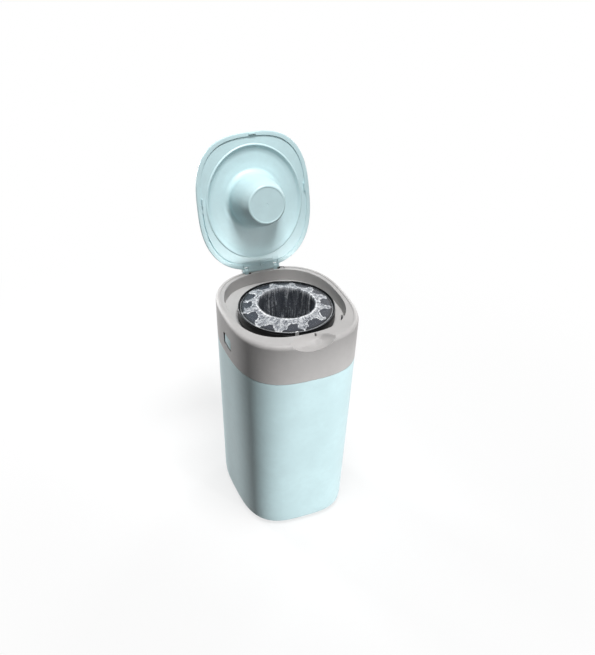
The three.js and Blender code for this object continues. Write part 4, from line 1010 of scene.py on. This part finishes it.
def smooth_stations(stations, steps):
    """A smooth run of values through the stations, each a tuple of numbers."""
    p = np.array(stations, float)
    gaps = np.concatenate([[0], np.cumsum(np.linalg.norm(np.diff(p, axis=0), axis=1))])
    slopes = np.gradient(p, gaps, axis=0)
    out = []
    for i in range(len(p) - 1):
        h = gaps[i + 1] - gaps[i]
        for s in np.linspace(0, 1, steps, endpoint=False):
            a, b = 2 * s**3 - 3 * s**2 + 1, s**3 - 2 * s**2 + s
            c, d = -2 * s**3 + 3 * s**2, s**3 - s**2
            out.append(a * p[i] + b * h * slopes[i] + c * p[i + 1] + d * h * slopes[i + 1])
    return out + [p[-1]]


def oval(a, b, y, depth, wall=0.0):
    """A ring of the liner's face at some depth below it, moved in and up by a wall."""
    t = SHELL_ANGLES
    z = np.full(len(t), LINER_FACE - depth + wall)
    return np.stack([(a - wall) * np.cos(t), (b - wall) * np.sin(t) + y, z], axis=1)


def plunger_stations():
    """Half-width, half-length, middle and depth of the liner's face, from the bead to the tip."""
    bead = [
        (BEAD_WIDTH + g, BEAD_LENGTH + g, 0, 1.6 * math.cos(g / 2.4 * math.pi / 2))
        for g in np.linspace(2.4, -2.4, 11)
    ]
    flare = [
        (90.1, 101.6, 0, 0), (87.5, 98.3, -0.3, -2.3), (83, 92.6, -0.9, -4.2),
        (74, 80.5, -2.4, -5.4), *FLARE_FOOT, (49.95, 49.95, TURN_Y, -1.2),
        *PLUNGER_SIDE, (TIP, TIP, TURN_Y, 65.6),
    ]
    flare = smooth_stations(flare, 9)
    tip = [(TIP, 65.6, 0), (TIP - 0.2, 69, 3.9), (TIP - 4.6, 69, 0.3), (TIP - 4.9, 68.5, 0.25)]
    tip = filleted([*tip, (TIP - 8, 68.4, 0)], 6)
    gate = [(18, 68.4), (2.6, 68.4), (2.3, 68.0), (1.1, 68.0), (0.9, 68.3), (0.3, 68.3)]
    return bead + flare[1:] + [(r, r, TURN_Y, depth) for r, depth in tip[1:] + gate]


def slit_rings(z, rise, line):
    """Rings of the liner's edge, raised along the slit at its left where their share is 1."""
    turn = np.degrees(SHELL_ANGLES)
    slit = ramp(turn, 116, 126) * ramp(turn, 177, 173)
    return [lid_ring(z + rise * share * slit, inset) for inset, share in line]


def make_liner():
    below = [oval(*station) for station in plunger_stations()]
    back = LINER_FACE + LID_WALL
    edge = slit_rings(LINER_FACE, 3.1, ((10.6, 0), (9.9, 0), (9.6, 1), (7.9, 1), (7.7, 0)))
    rim = [(7.4, LINER_FACE, 0), (2.9, LINER_FACE, 0.7), (2.9, back, 0.4), (6, back, 0)]
    edge += [lid_ring(z, inset) for inset, z in filleted(rim, 4)]
    edge += slit_rings(back, 1.5, ((6.8, 0), (7.2, 1), (10.4, 1), (10.9, 0)))
    above = [
        (90, 101.5, 0, 0), (86, 96.7, -0.5, -5), (74, 80, -2.5, -5.6),
        *FLARE_FOOT, (50.4, 50.4, TURN_Y, -1.2),
        *PLUNGER_SIDE, (TIP, TIP, TURN_Y, 63), (TIP - 3.4, TIP - 3.4, TURN_Y, 68.4),
    ]
    above = [oval(*station, LID_WALL) for station in above]
    shell = loft("lid_liner_and_plunger", below[::-1] + edge + above)
    low, high = LINER_FACE - 4.4, LINER_FACE + 1.1
    tabs = [block((x - 1, -20, low), (x + 1, -6, high)) for x in (-101, 101)]
    combine(shell, tabs, "UNION")
    room = bar_along_x(-RIM_WIDTH / 2, RIM_WIDTH / 2, hinge_outline(BARREL_RADIUS + GAP))
    combine(shell, [*hinge_tools(), room], "DIFFERENCE")
    place(opened(shell), "lid", AQUA, ["lid_liner"])


# Crown and screws
FINGERS, FINGER_THICK = 9, 1.8


def round_places(radius, *degrees):
    """Places on a circle about the turning axis."""
    return [(radius * math.cos(a), TURN_Y + radius * math.sin(a)) for a in np.radians(degrees)]


POSTS = round_places(101.54, 45, 135, 225, 315)


def make_crown():
    outer, inner, low, high = 107.54, 60.03, 359.3, 362.7
    corners = [(outer, low), (outer, high), (inner, high), (inner, low)]
    crown = turned("grip_crown_ring", closed_fillets([(*corner, 0.8) for corner in corners], 4))
    combine(crown, [peg(x, y, SCREW_HOLE, 350, 370, 20) for x, y in POSTS], "DIFFERENCE")
    place(crown, "head", GREY, ["grip_crown"])
    stations = [(64, 30, 361.1), (47, 22.6, 353.9), (31.2, 13.1, 337.1)]
    rings = []
    for r, wide, z in smooth_stations(stations, 10):
        section = rounded_box((-wide / 2, wide / 2), (z - FINGER_THICK, z), 0.8, 3)
        rings.append([(r, a, b) for a, b in section][::-1])
    fingers = loft("grip_fingers", rings)
    seat = {"First_Angle": math.pi / FINGERS, "Centre": (0, TURN_Y * MM, 0)}
    grown(fingers, COPIES, Count=FINGERS, Material=GREY, **seat)
    place(fingers, "head", GREY)


def screws(name, places, top, length, body, node):
    """Screws for one node each; where there are several, the nodes' names are numbered."""
    seats = mesh_object(name, [(x, y, top) for x, y in places], [])
    grown(seats, SCREWS, Length=length * MM, Material=STEEL)
    nodes = [f"{node}_{i + 1}" for i in range(len(places))] if len(places) > 1 else [node]
    place(seats, body, STEEL, nodes)


def make_screws():
    screws("deck_screws", BOSSES, 407.7, 13, "head", "deck_screw")
    screws("crown_screws", POSTS, 359.0, 15, "head", "crown_screw")
    screws("pawl_pivot_screw", round_places(99.04, 100), 376.1, 12, "head", "pawl_screw")
    at = round_places(78.49, 30, 150, 270)
    screws("ratchet_screws", at, 376.3, 6, "turntable", "ratchet_screw")


def dress_nodes():
    """Gives the frame's own nodes their finishes."""
    finishes = [
        (DECK_GREY, "warm_grey_shell", ["deck"]),
        (DARK, "dark_grey_moulding", ["ratchet_ring", "cutter_guard"]),
        (SLATE, "dark_grey_moulding", ["click_pawl"]),
        (STEEL, "steel", ["cutter_blade", "hinge_pin_left", "hinge_pin_right"]),
    ]
    for material, slot, names in finishes:
        for node in [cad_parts[name] for name in names]:
            coat(node, material)


# Stage, lamps and camera
SKY_LIGHT = 0.04
FLOOR_Z, FLOOR_RADII = -0.05, (9000, 3000, 1200, 400)
PHOTO_WIDTH, PHOTO_HEIGHT = 595, 655


def make_stage():
    f = Finish("pale_floor")
    x, y, _ = f.axes()
    away = (x * x + y * y) ** 0.5
    cloudy = f.cloud(3, 2).above(0.2, 0.8)
    pale = f.blend(cloudy, (0.93, 0.93, 0.93, 1), (0.95, 0.95, 0.95, 1))
    soft = f.add("ShaderNodeBsdfDiffuse", None, {"Color": pale}).outputs[0]
    dim = f.add("ShaderNodeBsdfDiffuse", None, {"Color": (0.15, 0.15, 0.15, 1)}).outputs[0]
    glow = f.add("ShaderNodeEmission", None, {"Color": (1, 1, 1, 1), "Strength": 1.0}).outputs[0]
    white = {0: f.spread(away, 0.3, 1.1, 0.72, 1.0), 1: soft, 2: glow}
    bright = f.add("ShaderNodeMixShader", None, white).outputs[0]
    whole = f.add("ShaderNodeMixShader", None, {0: f.seen(), 1: dim, 2: bright})
    material = f.finish(whole.outputs[0])
    t = even_angles(64)
    rings = [points(t, r, FLOOR_Z) for r in FLOOR_RADII]
    floor = loft("floor", rings, close=False)
    middle = mesh_object("floor_middle", rings[-1], [tuple(range(len(t)))])
    for piece in (floor, middle):
        piece.data.materials.append(material)


def make_world():
    world = bpy.data.worlds.new("studio")
    bpy.context.scene.world = world
    world.use_nodes = True
    sky = Tree(world.node_tree)
    inputs = {"Color": (1, 1, 1, 1), "Strength": sky.seen() * (1 - SKY_LIGHT) + SKY_LIGHT}
    background = sky.add("ShaderNodeBackground", None, inputs)
    sky.add("ShaderNodeOutputWorld", None, {"Surface": background.outputs[0]})


def direction(azimuth, elevation):
    """From a target to a lamp or camera, by degrees: azimuth 0 is the front, 90 the right."""
    a, e = math.radians(azimuth), math.radians(elevation)
    return Vector((math.sin(a) * math.cos(e), -math.cos(a) * math.cos(e), math.sin(e)))


def aim(name, data, azimuth, elevation, distance, target):
    """Hangs a lamp in a direction from its target, turned towards it."""
    made = linked(name, data)
    back = direction(azimuth, elevation)
    made.location = Vector(target) + back * distance
    made.rotation_mode = "QUATERNION"
    made.rotation_quaternion = (-back).to_track_quat("-Z", "Y")


def lamp(name, azimuth, elevation, distance, size, power, target=(0, 0, 0.36)):
    data = bpy.data.lights.new(name, "AREA")
    data.shape, data.size, data.size_y = "RECTANGLE", size[0], size[1]
    data.energy = power
    aim(name, data, azimuth, elevation, distance, target)


def spot(name, azimuth, elevation, distance, power, target, cone, blend, radius):
    """A lamp whose light stays within a cone, given in degrees."""
    data = bpy.data.lights.new(name, "SPOT")
    data.energy, data.spot_size, data.spot_blend = power, math.radians(cone), blend
    data.shadow_soft_size = radius
    aim(name, data, azimuth, elevation, distance, target)


def make_lamps():
    spot("front", 24, 1, 2.4, 226, (0, 0, 0.165), 16, 0.4, 0.1)
    lamp("above_front", 2, 81, 2.2, (0.7, 0.5), 47)
    spot("above_lid", -4, 54, 2.2, 68, (0, 0.15, 0.64), 13, 0.9, 0.15)
    lamp("right_back", 128, 12, 2.4, (0.6, 1.4), 17)
    lamp("left_back", -154, 8, 2.4, (0.5, 1.4), 45)


def make_camera():
    """The camera that was fitted to the outlines in the photograph."""
    azimuth, elevation, roll = -22.84, 37.81, math.radians(1.32)
    away, focal, middle = 1876.4 * MM, 957.2, (283.5, 396.7)
    back = direction(azimuth, elevation)
    level = direction(azimuth + 90, 0)
    upright = back.cross(level)
    right = level * math.cos(roll) + upright * math.sin(roll)
    up = upright * math.cos(roll) - level * math.sin(roll)
    data = bpy.data.cameras.new("camera")
    data.sensor_width = 36
    data.lens = focal / PHOTO_HEIGHT * data.sensor_width
    data.shift_x = (PHOTO_WIDTH / 2 - middle[0]) / PHOTO_HEIGHT
    data.shift_y = (middle[1] - PHOTO_HEIGHT / 2) / PHOTO_HEIGHT
    data.clip_start, data.clip_end = 0.05, 30
    made = linked("camera", data)
    turn = Matrix((right, up, back)).transposed().to_4x4()
    made.matrix_world = Matrix.Translation(back * away + Vector((0, 0, 0.22))) @ turn
    bpy.context.scene.camera = made


make_camera()
make_tub()
make_collar()
make_cassette()
make_turntable()
make_film()
make_film_pack()
make_cover()
make_liner()
make_crown()
make_screws()
dress_nodes()
make_stage()
make_world()
make_lamps()
bpy.context.scene.view_settings.view_transform = "Standard"
